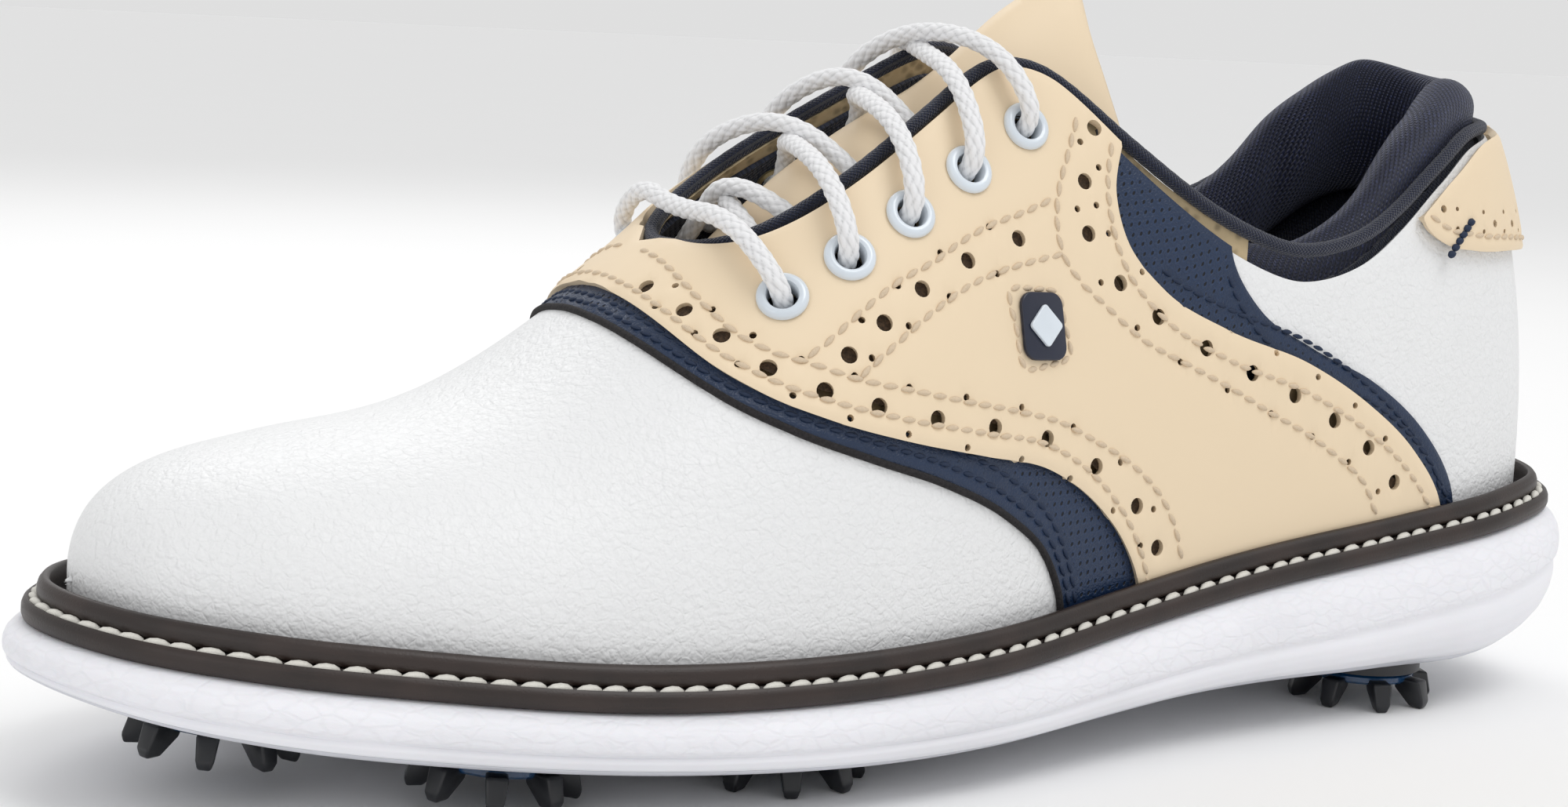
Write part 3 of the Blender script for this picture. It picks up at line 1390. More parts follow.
# ---- upper -------------------------------------------------------------------------------------
@dataclass
class Upper:
    """Leather panels, lining, heel tab and their sewing."""

    quarter_level: float = -0.6
    accent_level: float = 0.3
    saddle_level: float = 1.8
    lining_level: float = -3.2
    quarter_thick: float = 1.4
    accent_thick: float = 0.8
    saddle_thick: float = 1.4
    lining_thick: float = 0.9
    piping_radius: float = 2.3
    big_hole: float = 1.45
    small_hole: float = 0.62
    pair_spread: float = 2.1
    eyelets: tuple = ((-38, 79), (-26.5, 85.5), (-14.5, 92.3), (-1.5, 99.5), (12, 106.8))
    barrel: float = 3.1

    def clip(self, line: Points, side: Side) -> Points:
        """The part of a map line, drawn from its top down, that lies under the opening's edge."""
        edge = LAST.opening(side, self.piping_radius)
        limit = np.interp(line[:, 0], edge[:, 0], edge[:, 1])
        within = edge[0, 0], edge[-1, 0]
        keep = (line[:, 1] - limit) * side.value >= 0
        keep |= (line[:, 0] < within[0]) | (line[:, 0] > within[1])
        first = int(np.argmax(keep))
        line = line[first:]
        if first > 0:
            top = np.array([line[0, 0], np.interp(line[0, 0], edge[:, 0], edge[:, 1])])
            line = np.vstack([top, line])
        return line

    def rim(self, side: Side, start: float, stop: float) -> Points:
        """The opening's edge between two places along the shoe, towards the heel."""
        edge = LAST.opening(side, self.piping_radius)
        return edge[(edge[:, 0] > start) & (edge[:, 0] < stop)]

    def foot(self, start: float, stop: float, side: Side) -> Points:
        """The sole's edge of a panel between two places along the shoe."""
        steps = max(int(abs(stop - start) / 2.0), 1)
        a = np.linspace(start, stop, steps + 1)
        v = -LAST.wall if side is Side.LATERAL else LAST.medial_foot
        return np.column_stack([a, np.full(len(a), v)])

    def pole(self, a: float, upwards: bool) -> Points:
        """The closed end of the map at the toe or the heel."""
        v = np.append(np.arange(-LAST.wall, LAST.medial_foot, 4.0), LAST.medial_foot)
        line = np.column_stack([np.full(len(v), a), v])
        return line if upwards else line[::-1]

    def brogue(self, pattern: Pairs, side: Side, sideways: float = 1.0) -> list[Hole]:
        """Large holes at the pattern's points, with a pair of small ones between them."""
        x, z = np.array(pattern, float).T
        centres = LAST.place(x, z, side, self.saddle_level)
        holes = [Hole(c, self.big_hole) for c in centres]
        for one, two in zip(centres, centres[1:]):
            ahead = unit((two - one)[None])[0]
            across = np.array([-ahead[1], ahead[0]]) * self.pair_spread * sideways
            middle = (one + two) / 2
            holes += [Hole(middle + across, self.small_hole), Hole(middle - across, self.small_hole)]
        return holes

    def eyelet_places(self, side: Side) -> Points:
        """Map places of one row of eyelets; the medial row follows the tilted edge."""
        lift = LAST.tilt * LAST.tilt_line * (1 + side.value)
        x, z = np.array(self.eyelets, float).T
        return LAST.place(x, z + lift, side, self.saddle_level)

    def saddle_lines(self) -> dict[str, list[Points]]:
        """Map lines of the sewing on the saddle, by name."""
        level = self.saddle_level
        names = ("front_edge", "front_band", "diagonal", "rear_edge", "rear_band")
        lines: dict[str, list[Points]] = {name: [] for name in names}
        front = LAST.over(Edge.SADDLE_FRONT, level)
        lines["front_edge"].append(offset(front, 1.9)[4:-4])
        for side in Side:
            inner = LAST.seam(Edge.FRONT_BAND, side, level)
            lines["front_band"].append(inner)
            for pattern in (Edge.DIAGONAL_UPPER, Edge.DIAGONAL_LOWER):
                lines["diagonal"].append(LAST.seam(pattern, side, level))
            rear = self.clip(LAST.seam(Edge.SADDLE_REAR, side, level), side)
            lines["rear_edge"].append(offset(rear, -2.0 * side.value)[3:-3])
            band = self.clip(LAST.seam(Edge.REAR_BAND, side, level), side)
            lines["rear_band"].append(band[3:])
        return lines

    def patch(self) -> Points:
        """Closed map line of the sewing round the badge."""
        corners = np.array([(3.0, 80.2), (8.5, 80.4), (13.6, 79.4), (14.6, 74.5), (15.2, 69.4),
                            (10.0, 67.9), (4.6, 67.8), (3.4, 74.0)])
        loop = spline(corners, 0.6, closed=True)
        return LAST.place(loop[:, 0], loop[:, 1], Side.LATERAL, self.saddle_level)

    def saddle(self) -> None:
        """The saddle with its brogue holes, and the dark lining behind the holes."""
        level = self.saddle_level
        front = LAST.over(Edge.SADDLE_FRONT, level)
        rear = {s: self.clip(LAST.seam(Edge.SADDLE_REAR, s, level), s) for s in Side}
        outline = self._saddle_outline(front, rear, level)
        holes: list[Hole] = []
        for side in Side:
            holes += self.brogue(Edge.FRONT_HOLES, side) + self.brogue(Edge.DIAGONAL_HOLES, side)
            holes += self.brogue(Edge.REAR_HOLES, side)
            holes += [Hole(c, self.barrel) for c in self.eyelet_places(side)]
        lines = self.saddle_lines()
        seams = [line for group in lines.values() for line in group] + [self.patch()]
        panel = Panel("saddle_panel", outline, level, self.saddle_thick, 1.5, holes, seams)
        finish_piece(panel.build(), "shoe", [TAN_NUBUCK, TAN_CUT], ["saddle"])
        inner = level - self.saddle_thick - 0.02
        under = self._saddle_outline(
            offset(front, 3.0), {s: offset(r, -3.0 * s.value) for s, r in rear.items()}, inner, 4.0
        )
        holes = [Hole(c, self.barrel) for s in Side for c in self.eyelet_places(s)]
        sheet = Panel("saddle_underlay", under, inner, 0.05, 3.0, holes, roll=0.0, pull=0.0)
        finish_piece(sheet.build(), "shoe", [NEEDLE_DARK, NEEDLE_DARK])

    def _saddle_outline(self, front: Points, rear: dict, level: float, drop: float = 0.0) -> Points:
        """Closed outline between the front and rear edges and the opening."""
        edges = {}
        for side in Side:
            whole = LAST.opening(side, self.piping_radius + drop)
            edges[side] = whole[whole[:, 0] < rear[side][0, 0] - 0.3]
        medial, lateral = rear[Side.MEDIAL], rear[Side.LATERAL]
        return np.vstack([
            front,
            self.foot(front[-1, 0], medial[-1, 0], Side.MEDIAL)[1:-1],
            medial[::-1],
            edges[Side.MEDIAL][::-1],
            edges[Side.LATERAL][1:],
            lateral,
            self.foot(lateral[-1, 0], front[0, 0], Side.LATERAL)[1:-1],
        ])

    def vamp(self) -> None:
        """White toe part, which runs on under the navy strip."""
        level = self.quarter_level
        edge = LAST.over(Edge.VAMP, level, 5.0)
        outline = np.vstack([
            edge,
            self.foot(edge[-1, 0], 0.0, Side.MEDIAL)[1:-1],
            self.pole(0.0, upwards=False),
            self.foot(0.0, edge[0, 0], Side.LATERAL)[1:-1],
        ])
        panel = Panel("vamp_panel", outline, level, self.quarter_thick, 2.4)
        finish_piece(panel.build(), "shoe", [WHITE_LEATHER, WHITE_CUT], ["vamp"])

    def front_strip(self) -> None:
        """Navy strip between the vamp and the saddle, with two rows of sewing."""
        level = self.accent_level
        front = LAST.over(Edge.VAMP, level)
        rear = LAST.over(Edge.SADDLE_FRONT, level, 3.4)
        outline = np.vstack([
            front,
            self.foot(front[-1, 0], rear[-1, 0], Side.MEDIAL)[1:-1],
            rear[::-1],
            self.foot(rear[0, 0], front[0, 0], Side.LATERAL)[1:-1],
        ])
        rows = [offset(front, 1.3)[3:-3], offset(front, 2.9)[3:-3]]
        panel = Panel("front_strip_panel", outline, level, self.accent_thick, 1.4, seams=rows, pull=0.16)
        finish_piece(panel.build(), "shoe", [NAVY_STRIP, NAVY_CUT], ["front_accent"])
        lip = LAST.point(offset(front, -0.35), self.quarter_level + 0.45)
        piece = tube("front_strip_lip", even(lip, 1.0), np.array([[0.62]]), 10)
        finish_piece(piece, "shoe", [NAVY_CUT])
        sewing = Sewing("front_strip_sewing", NAVY_THREAD, "navy_leather", level - 0.06, 2.6, 0.7, 0.32)
        sewing.along(rows)

    def rear_strips(self) -> None:
        """Navy strips behind the saddle on both sides."""
        level = self.accent_level
        rows = []
        made = []
        for side in Side:
            front = self.clip(LAST.seam(Edge.SADDLE_REAR, side, level, -4.5), side)
            rear = self.clip(LAST.seam(Edge.ACCENT_REAR, side, level), side)
            outline = np.vstack([
                front,
                self.foot(front[-1, 0], rear[-1, 0], side)[1:-1],
                rear[::-1],
                self.rim(side, front[0, 0] + 0.3, rear[0, 0] - 0.3)[::-1],
            ])
            if side is Side.MEDIAL:
                outline = outline[::-1]
            saddle = self.clip(LAST.seam(Edge.SADDLE_REAR, side, level), side)
            half = len(rear) // 3
            row = [offset(rear, -1.6 * side.value)[3:-3], offset(saddle, 1.5 * side.value)[half:-3]]
            rows += row
            panel = Panel(f"rear_strip_{side.name.lower()}", outline, level, self.accent_thick, 1.4,
                          seams=row, pull=0.16)
            made.append(panel.build())
        for piece in made:
            finish_piece(piece, "shoe", [NAVY_STRIP, NAVY_CUT], ["rear_accents"])
        sewing = Sewing("rear_strip_sewing", NAVY_THREAD, "navy_leather", level - 0.06, 2.6, 0.7, 0.32)
        sewing.along(rows)

    def heel_quarter(self) -> None:
        """White heel part, under the navy strips and the tab."""
        level = self.quarter_level
        sides = {s: self.clip(LAST.seam(Edge.ACCENT_REAR, s, level, -5.0), s) for s in Side}
        lateral, medial = sides[Side.LATERAL], sides[Side.MEDIAL]
        far = math.pi * LAST.reach
        outline = np.vstack([
            lateral,
            self.foot(lateral[-1, 0], far, Side.LATERAL)[1:-1],
            self.pole(far, upwards=True),
            self.foot(far, medial[-1, 0], Side.MEDIAL)[1:-1],
            medial[::-1],
            self.rim(Side.MEDIAL, medial[0, 0] + 0.3, 1e3),
            self.rim(Side.LATERAL, lateral[0, 0] + 0.3, 1e3)[::-1][1:],
        ])
        panel = Panel("heel_quarter_panel", outline, level, self.quarter_thick, 2.2)
        finish_piece(panel.build(), "shoe", [WHITE_LEATHER, WHITE_CUT], ["heel_quarter"])

    def tab_line(self, side: Side, level: float) -> Points:
        """Lower edge of the heel tab, from the opening to the middle of the heel."""
        line = spline(Edge.TAB_FRONT, 0.7)
        line = line[line[:, 1] <= LAST.ridge_height(line[:, 0], level)]
        places = LAST.place(line[:, 0], line[:, 1], side, level)
        crest = np.array([places[-1, 0] + 0.3, LAST.crest])
        return self.clip(np.vstack([places, crest]), side)

    def heel_tab(self) -> None:
        """Tan tab at the back of the opening, with holes along its lower edge."""
        level = self.saddle_level
        lines = {s: self.tab_line(s, level) for s in Side}
        lateral, medial = lines[Side.LATERAL], lines[Side.MEDIAL]
        outline = np.vstack([
            lateral,
            medial[::-1][1:],
            self.rim(Side.MEDIAL, medial[0, 0] + 0.3, 1e3),
            self.rim(Side.LATERAL, lateral[0, 0] + 0.3, 1e3)[::-1][1:],
        ])
        holes, rows = [], []
        for side in Side:
            x = np.array([104.0, 111.5, 119.0, 126.5])
            z = np.array([94.0, 91.6, 91.2, 91.0])
            spots = LAST.place(x, z, side, level)
            holes += [Hole(c, 0.75) for c in spots]
            x = np.array([107.6, 115.2, 122.8, 130.0])
            for rise in (-1.2, 2.4):
                spots = LAST.place(x, np.array([91.6, 91.0, 90.9, 90.8]) + rise, side, level)
                holes += [Hole(c, 0.45) for c in spots]
            row = offset(lines[side], 1.7 * side.value)[4:-1]
            rows.append(row)
        panel = Panel("heel_tab_panel", outline, level, self.saddle_thick, 1.3, holes, rows, foot=False)
        finish_piece(panel.build(), "shoe", [TAN_NUBUCK, TAN_CUT], ["heel_tab"])
        Sewing("heel_tab_sewing", TAN_THREAD, "tan_nubuck", level - 0.05, 3.0, 0.8, 0.36).along(rows)
        for side in Side:
            tack = np.array([(111.5, 92.0), (108.0, 88.6), (104.8, 85.0)])
            places = LAST.place(tack[:, 0], tack[:, 1], side, level)
            sewing = Sewing(
                f"bar_tack_{side.name.lower()}", NAVY_THREAD, "navy_leather", level + 0.05,
                pitch=1.6, width=1.7, height=0.6, slant=58.0,
            )
            sewing.along([places])

    def lining(self) -> None:
        """Cloth lining of the whole upper, open along the topline."""
        level = self.lining_level
        far = math.pi * LAST.reach
        outline = np.vstack([
            self.foot(0.0, far, Side.LATERAL)[:-1],
            self.pole(far, upwards=True)[:-1],
            self.foot(far, 0.0, Side.MEDIAL)[:-1],
            self.pole(0.0, upwards=False)[:-1],
        ])
        lateral = LAST.opening(Side.LATERAL, self.piping_radius)
        medial = LAST.opening(Side.MEDIAL, self.piping_radius)
        panel = Panel("upper_lining", outline, level, self.lining_thick, 3.0, foot=False, roll=0.0)
        panel.cutouts.append(np.vstack([lateral, medial[::-1][1:-1]]))
        finish_piece(
            panel.build(), "shoe", [LINING_WEAVE, LINING_WEAVE],
            ["vamp_lining", "quarter_lining"],
        )

    def sewing(self) -> None:
        """Cream sewing on the saddle."""
        level = self.saddle_level - 0.08
        for name, lines in self.saddle_lines().items():
            pitch = 2.9 if name.endswith("edge") else 3.1
            Sewing(f"{name}_sewing", TAN_THREAD, "tan_nubuck", level, pitch).along(lines)
        Sewing("badge_sewing", TAN_THREAD, "tan_nubuck", level, 2.7).along([self.patch()])

    def build(self) -> None:
        """Builds every panel and its sewing."""
        self.lining()
        self.vamp()
        self.heel_quarter()
        self.front_strip()
        self.rear_strips()
        self.saddle()
        self.heel_tab()
        self.sewing()


# ---- tubes -------------------------------------------------------------------------------------
def follow(line: Points, closed: bool) -> tuple[Points, Points, Points]:
    """Frames that run along a line without twisting.

    Args:
        line: Points of the line.
        closed: Whether the last point joins the first.

    Returns:
        Tangents and two unit vectors across the line, one of each a point.
    """
    if closed:
        tangent = unit(np.roll(line, -1, axis=0) - np.roll(line, 1, axis=0))
    else:
        tangent = unit(np.gradient(line, axis=0))
    first = np.zeros_like(line)
    across = np.cross(tangent[0], [0.0, 0.0, 1.0])
    across = across if np.linalg.norm(across) > 0.1 else np.cross(tangent[0], [0.0, 1.0, 0.0])
    for i, t in enumerate(tangent):
        across = across - t * float(across @ t)
        across = across / np.linalg.norm(across)
        first[i] = across
    return tangent, first, np.cross(tangent, first)


def tube(name: str, line: Points, radius: Points, around: int, closed: bool = False,
         values: Optional[dict[str, Points]] = None) -> bpy.types.Object:
    """A round tube along a line.

    Args:
        name: Name of the piece.
        line: Middle of the tube.
        radius: Radius at each point and each place round it.
        around: Number of sides.
        closed: Whether the tube is a ring.
        values: Point attributes.

    Returns:
        The piece, with a map in centimetres.
    """
    _, first, second = follow(line, closed)
    turns = np.linspace(0, 2 * math.pi, around, endpoint=False)
    cosine, sine = np.cos(turns)[None, :, None], np.sin(turns)[None, :, None]
    spoke = first[:, None, :] * cosine + second[:, None, :] * sine
    reach = np.broadcast_to(radius, (len(line), around))[:, :, None]
    verts = (line[:, None, :] + spoke * reach).reshape(-1, 3)
    faces = grid_faces(len(line), around, closed, True)
    length = reach_of(line)
    mean = float(np.mean(radius))
    uv = np.array([(s, t * mean) for s in length for t in turns]) / 10
    if not closed:
        faces += [tuple(range(around))[::-1], tuple(range(len(verts) - around, len(verts)))]
    piece = add_mesh(name, verts, [f[::-1] for f in faces], uv, values)
    merge(piece)
    shade(piece, 60.0)
    return piece


@dataclass
class Binding:
    """Woven piping that runs round the foot opening."""

    level: float = -1.15
    radius: float = 1.3
    around: int = 16

    def line(self) -> Points:
        """Closed middle line of the piping."""
        parts = []
        for side in (Side.LATERAL, Side.MEDIAL):
            parts.append(LAST.point(LAST.opening(side, 0.0, self.level), self.level))
        loop = np.vstack([parts[0][::-1], parts[1][1:-1]])
        loop = even(np.vstack([loop, loop[:1]]), 0.9)[:-1]
        for _ in range(5):
            loop = (np.roll(loop, 1, axis=0) + 2 * loop + np.roll(loop, -1, axis=0)) / 4
        return loop

    def build(self) -> None:
        """Builds the piping."""
        line = self.line()
        ripple = 1 + 0.02 * np.sin(np.arange(len(line)) * 1.9)
        piece = tube("topline_binding", line, (self.radius * ripple)[:, None], self.around, closed=True)
        finish_piece(piece, "shoe", [NAVY_WEAVE], ["topline_piping"])


@dataclass
class Lacing:
    """Round braided lace, its eyelets with washers, and its two ends."""

    diameter: float = 3.4
    carriers: int = 6
    pick: float = 3.1
    braid_depth: float = 0.3
    step: float = 0.38
    around: int = 36
    route: tuple = (
        (0.0185, -0.0245, 0.060), (0.0165, -0.0235, 0.072), (0.015, -0.022, 0.084),
        (0.0135, -0.0185, 0.0945), (0.0125, -0.014, 0.103), (0.012, -0.026, 0.1085),
        (0.0085, -0.018, 0.120), (0.005, 0.002, 0.123), (0.0, 0.0165, 0.1165),
        (-0.0015, 0.0225, 0.1045), (-0.002, 0.0125, 0.1015), (-0.003, 0.007, 0.1085),
        (-0.008, 0.0025, 0.1115), (-0.014, -0.023, 0.107), (-0.015, -0.0325, 0.0945),
        (-0.0135, -0.0215, 0.088), (-0.015, -0.015, 0.097), (-0.0205, 0.003, 0.107),
        (-0.027, 0.020, 0.102), (-0.027, 0.029, 0.091), (-0.0255, 0.0175, 0.085),
        (-0.026, 0.0125, 0.092), (-0.032, 0.003, 0.0925), (-0.0325, -0.014, 0.0845),
        (-0.034, -0.0235, 0.074), (-0.040, -0.032, 0.0815), (-0.042, -0.0175, 0.091),
        (-0.041, 0.0035, 0.0905), (-0.042, 0.015, 0.094), (-0.0395, 0.029, 0.085),
        (-0.035, 0.0195, 0.0775), (-0.0325, 0.012, 0.087), (-0.032, 0.003, 0.0965),
        (-0.0255, -0.016, 0.089), (-0.024, -0.0235, 0.081), (-0.028, -0.0335, 0.088),
        (-0.0275, -0.0235, 0.099), (-0.0205, 0.003, 0.103), (-0.0155, 0.0105, 0.100),
        (-0.015, 0.014, 0.0925), (-0.0145, 0.026, 0.0975), (-0.0135, 0.019, 0.109),
        (-0.008, 0.0025, 0.1155), (-0.0025, -0.012, 0.105), (-0.0015, -0.018, 0.0955),
        (-0.0015, -0.0295, 0.1015), (-0.0005, -0.0195, 0.115), (0.005, 0.002, 0.119),
        (0.009, 0.015, 0.121), (0.012, 0.0195, 0.112), (0.012, 0.0094, 0.1073),
        (0.0135, 0.0115, 0.098), (0.015, 0.014, 0.0875), (0.0165, 0.0145, 0.076),
        (0.018, 0.0145, 0.064),
    )

    def middle(self) -> Points:
        """The lace's middle line in millimetres, read from its curve."""
        curve = bpy.data.curves.new("lace_route", "CURVE")
        curve.dimensions = "3D"
        curve.resolution_u = 16
        strand = curve.splines.new("NURBS")
        strand.points.add(len(self.route) - 1)
        for point, place in zip(strand.points, self.route):
            point.co = (*place, 1.0)
        strand.order_u = 3
        strand.use_endpoint_u = True
        carrier = linked("lace_route", curve)
        bpy.context.view_layer.update()
        mesh = bpy.data.meshes.new_from_object(carrier)
        line = np.array([v.co for v in mesh.vertices], float) / MM
        bpy.data.objects.remove(carrier)
        bpy.data.curves.remove(curve)
        bpy.data.meshes.remove(mesh)
        return even(line, self.step)

    def lace(self) -> None:
        """The braided lace; the braid is real relief on its surface."""
        line = self.middle()
        along_it = np.arange(len(line)) * self.step
        turns = np.linspace(0, 2 * math.pi, self.around, endpoint=False)
        turned = self.carriers * turns[None, :] / (2 * math.pi)
        right = along_it[:, None] / self.pick + turned
        left = along_it[:, None] / self.pick - turned
        over = (np.floor(right) + np.floor(left)) % 2
        rise = np.abs(np.sin(math.pi * right)), np.abs(np.sin(math.pi * left))
        height = np.where(
            over > 0, rise[0] ** 0.7 * (0.55 + 0.45 * rise[1]), rise[1] ** 0.7 * (0.55 + 0.45 * rise[0])
        )
        flat = 1 + 0.04 * np.cos(2 * turns + 0.3)[None, :]
        radius = (self.diameter / 2) * flat - self.braid_depth * (1 - height)
        piece = tube("braided_lace", line, radius, self.around, values={"braid": height.ravel()})
        finish_piece(piece, "shoe", [LACE_BRAID], ["lace"])

    def eyelet(self) -> bpy.types.Object:
        """One eyelet at the origin, in millimetres, turned from its own section."""
        section = [
            (2.5, -2.4), (2.5, 0.55), (2.72, 0.98), (3.1, 1.16), (3.55, 1.12), (4.0, 0.86),
            (4.27, 0.5), (4.3, 0.1), (4.1, -0.05), (3.0, -0.05), (3.0, -2.4),
        ]
        return turned("eyelet_section", section, closed=True, steps=40)

    def eyelets(self, upper: Upper) -> None:
        """Both rows of eyelets."""
        for side in Side:
            places = upper.eyelet_places(side)
            spots = LAST.point(places, upper.saddle_level)
            normals = LAST.normal(places, upper.saddle_level)
            first = unit(np.cross(normals, [[0.0, 1.0, 0.0]]))
            frames = np.stack([first, np.cross(normals, first), normals], axis=1)
            name = side.name.lower()
            piece = copies(f"eyelet_row_{name}", self.eyelet(), spots, frames)
            shade(piece, 35.0)
            finish_piece(piece, "shoe", [EYELET_GLOSS], [f"eyelets_{name}"])

    def build(self, upper: Upper) -> None:
        """Builds the lace and the eyelets."""
        self.lace()
        self.eyelets(upper)


# ---- padded pieces -----------------------------------------------------------------------------
@dataclass
class Collar:
    """Padded collar round the back of the opening, covered with ribbed knit."""

    front: float = 26.0
    depth: float = 26.0
    outer: float = -4.4
    inner: float = -11.2
    top: tuple = (
        (24, 106), (42, 95.5), (58, 88.5), (71, 87.2), (82, 91.5), (90, 97.5), (97, 105.5),
        (105, 111.5), (114, 115.5), (122, 117.5), (132, 116.5), (140, 114),
    )
    fill: float = 0.85

    def wall(self, origin: Points, heading: Points, z: Points, level: Points, limit: Points) -> Points:
        """Points of the form's wall at given heights, found along rays in plan.

        Args:
            origin: Plan origin of each ray.
            heading: Plan direction of each ray.
            z: Height of each point.
            level: Height above the last of each point.
            limit: Height above which the wall stands upright.

        Returns:
            The points.
        """
        height = np.minimum(z, limit)
        near, far = np.zeros(len(z)), np.full(len(z), 70.0)
        base = -5.0
        for _ in range(26):
            middle = (near + far) / 2
            spot = origin + heading * middle[:, None]
            y0, y1, ridge, feather, crown, side, top = LAST.section(spot[:, 0], base)
            end = np.where(spot[:, 1] < ridge, y0, y1)
            out = np.abs(spot[:, 1] - ridge) / np.maximum(np.abs(end - ridge), 1e-6)
            rise = np.clip((height - feather) / np.maximum(crown, 1e-6), 0, 5)
            within = (out ** side + rise ** top < 1) & (crown > 0.5)
            near = np.where(within, middle, near)
            far = np.where(within, far, middle)
        plan = origin + heading * (near + level - base)[:, None]
        return np.column_stack([plan, z])

    def stations(self) -> tuple[Points, Points, Points]:
        """Rays from the lateral front, round the heel, to the medial front.

        Returns:
            Origins, headings and the place along the collar, in millimetres.
        """
        xs = np.arange(self.front, LAST.heel_centre, 2.0)
        turns = np.radians(np.arange(-90.0, 90.01, 4.0))
        origins, headings = [], []
        for x in xs:
            origins.append((x, along(LAST.ridge_shift, x)))
            headings.append((0.0, -1.0))
        centre = (LAST.heel_centre, along(LAST.ridge_shift, LAST.heel_centre))
        for turn in turns:
            origins.append(centre)
            headings.append((math.cos(turn), math.sin(turn)))
        for x in xs[::-1]:
            origins.append((x, along(LAST.ridge_shift, x)))
            headings.append((0.0, 1.0))
        count = len(origins)
        return np.array(origins, float), np.array(headings, float), np.linspace(-1, 1, count)

    def build(self) -> None:
        """Builds the pad as one closed crowned form and covers it with knit."""
        origin, heading, share = self.stations()
        flat = np.full(len(origin), 1.0)
        rough = self.wall(origin, heading, 88.0 * flat, -5.0 * flat, 88.0 * flat)
        crest = along(self.top, rough[:, 0]) + LAST.tilt * (rough[:, 1] + LAST.tilt_line)
        edge = along(LAST.topline, rough[:, 0]) + LAST.tilt * (rough[:, 1] + LAST.tilt_line) - 1.0
        taper = smooth(1 - np.abs(share), 0.0, 0.16)
        puff = smooth(rough[:, 0], 84.0, 112.0)
        steps = 30
        turns = np.linspace(0, 2 * math.pi, steps, endpoint=False)
        rings = []
        for turn in turns:
            up, out = math.sin(turn), math.cos(turn)
            high = np.abs(up) ** 0.9 * np.sign(up)
            wide = np.abs(out) ** 0.8 * np.sign(out)
            middle = crest - self.depth / 2
            z = middle + self.depth / 2 * high
            thick = (self.outer - self.inner) / 2 * (0.25 + 0.75 * taper)
            thick = thick * (1 + 0.25 * puff * max(up, 0.0))
            centre = self.outer - thick
            bulge = 2.6 * puff * smooth(z, edge - 1.0, edge + 8.0) * max(out, 0.0)
            lean = -1.0 * puff * max(up, 0.0) ** 2
            level = centre + thick * wide + bulge + lean
            rings.append(self.wall(origin, heading, z, level, edge - 2.0))
        verts = np.stack(rings, axis=1)
        seam = np.abs(np.abs(share) - 0.42)
        dent = 0.9 * np.exp(-(seam / 0.012) ** 2)
        toward = np.column_stack([-heading, np.zeros(len(heading))])
        inner_side = np.clip(-np.cos(turns), 0, 1)
        verts -= toward[:, None, :] * (dent[:, None] * inner_side[None, :])[:, :, None]
        rows = len(verts)
        faces = grid_faces(rows, steps, False, True)
        faces += [tuple(range(steps))[::-1], tuple(range(rows * steps - steps, rows * steps))]
        flat = verts.reshape(-1, 3)
        length = reach_of(rough)
        girth = np.linspace(0, 2.4 * self.depth, steps, endpoint=False)
        uv = np.array([(s, g) for s in length for g in girth]) / 10
        piece = add_mesh("padded_collar", flat, faces, uv)
        merge(piece)
        apply_modifier(piece, "SUBSURF", levels=1, render_levels=1)
        shade(piece, 70.0)
        finish_piece(piece, "shoe", [COLLAR_KNIT], ["collar_foam", "collar_knit"])


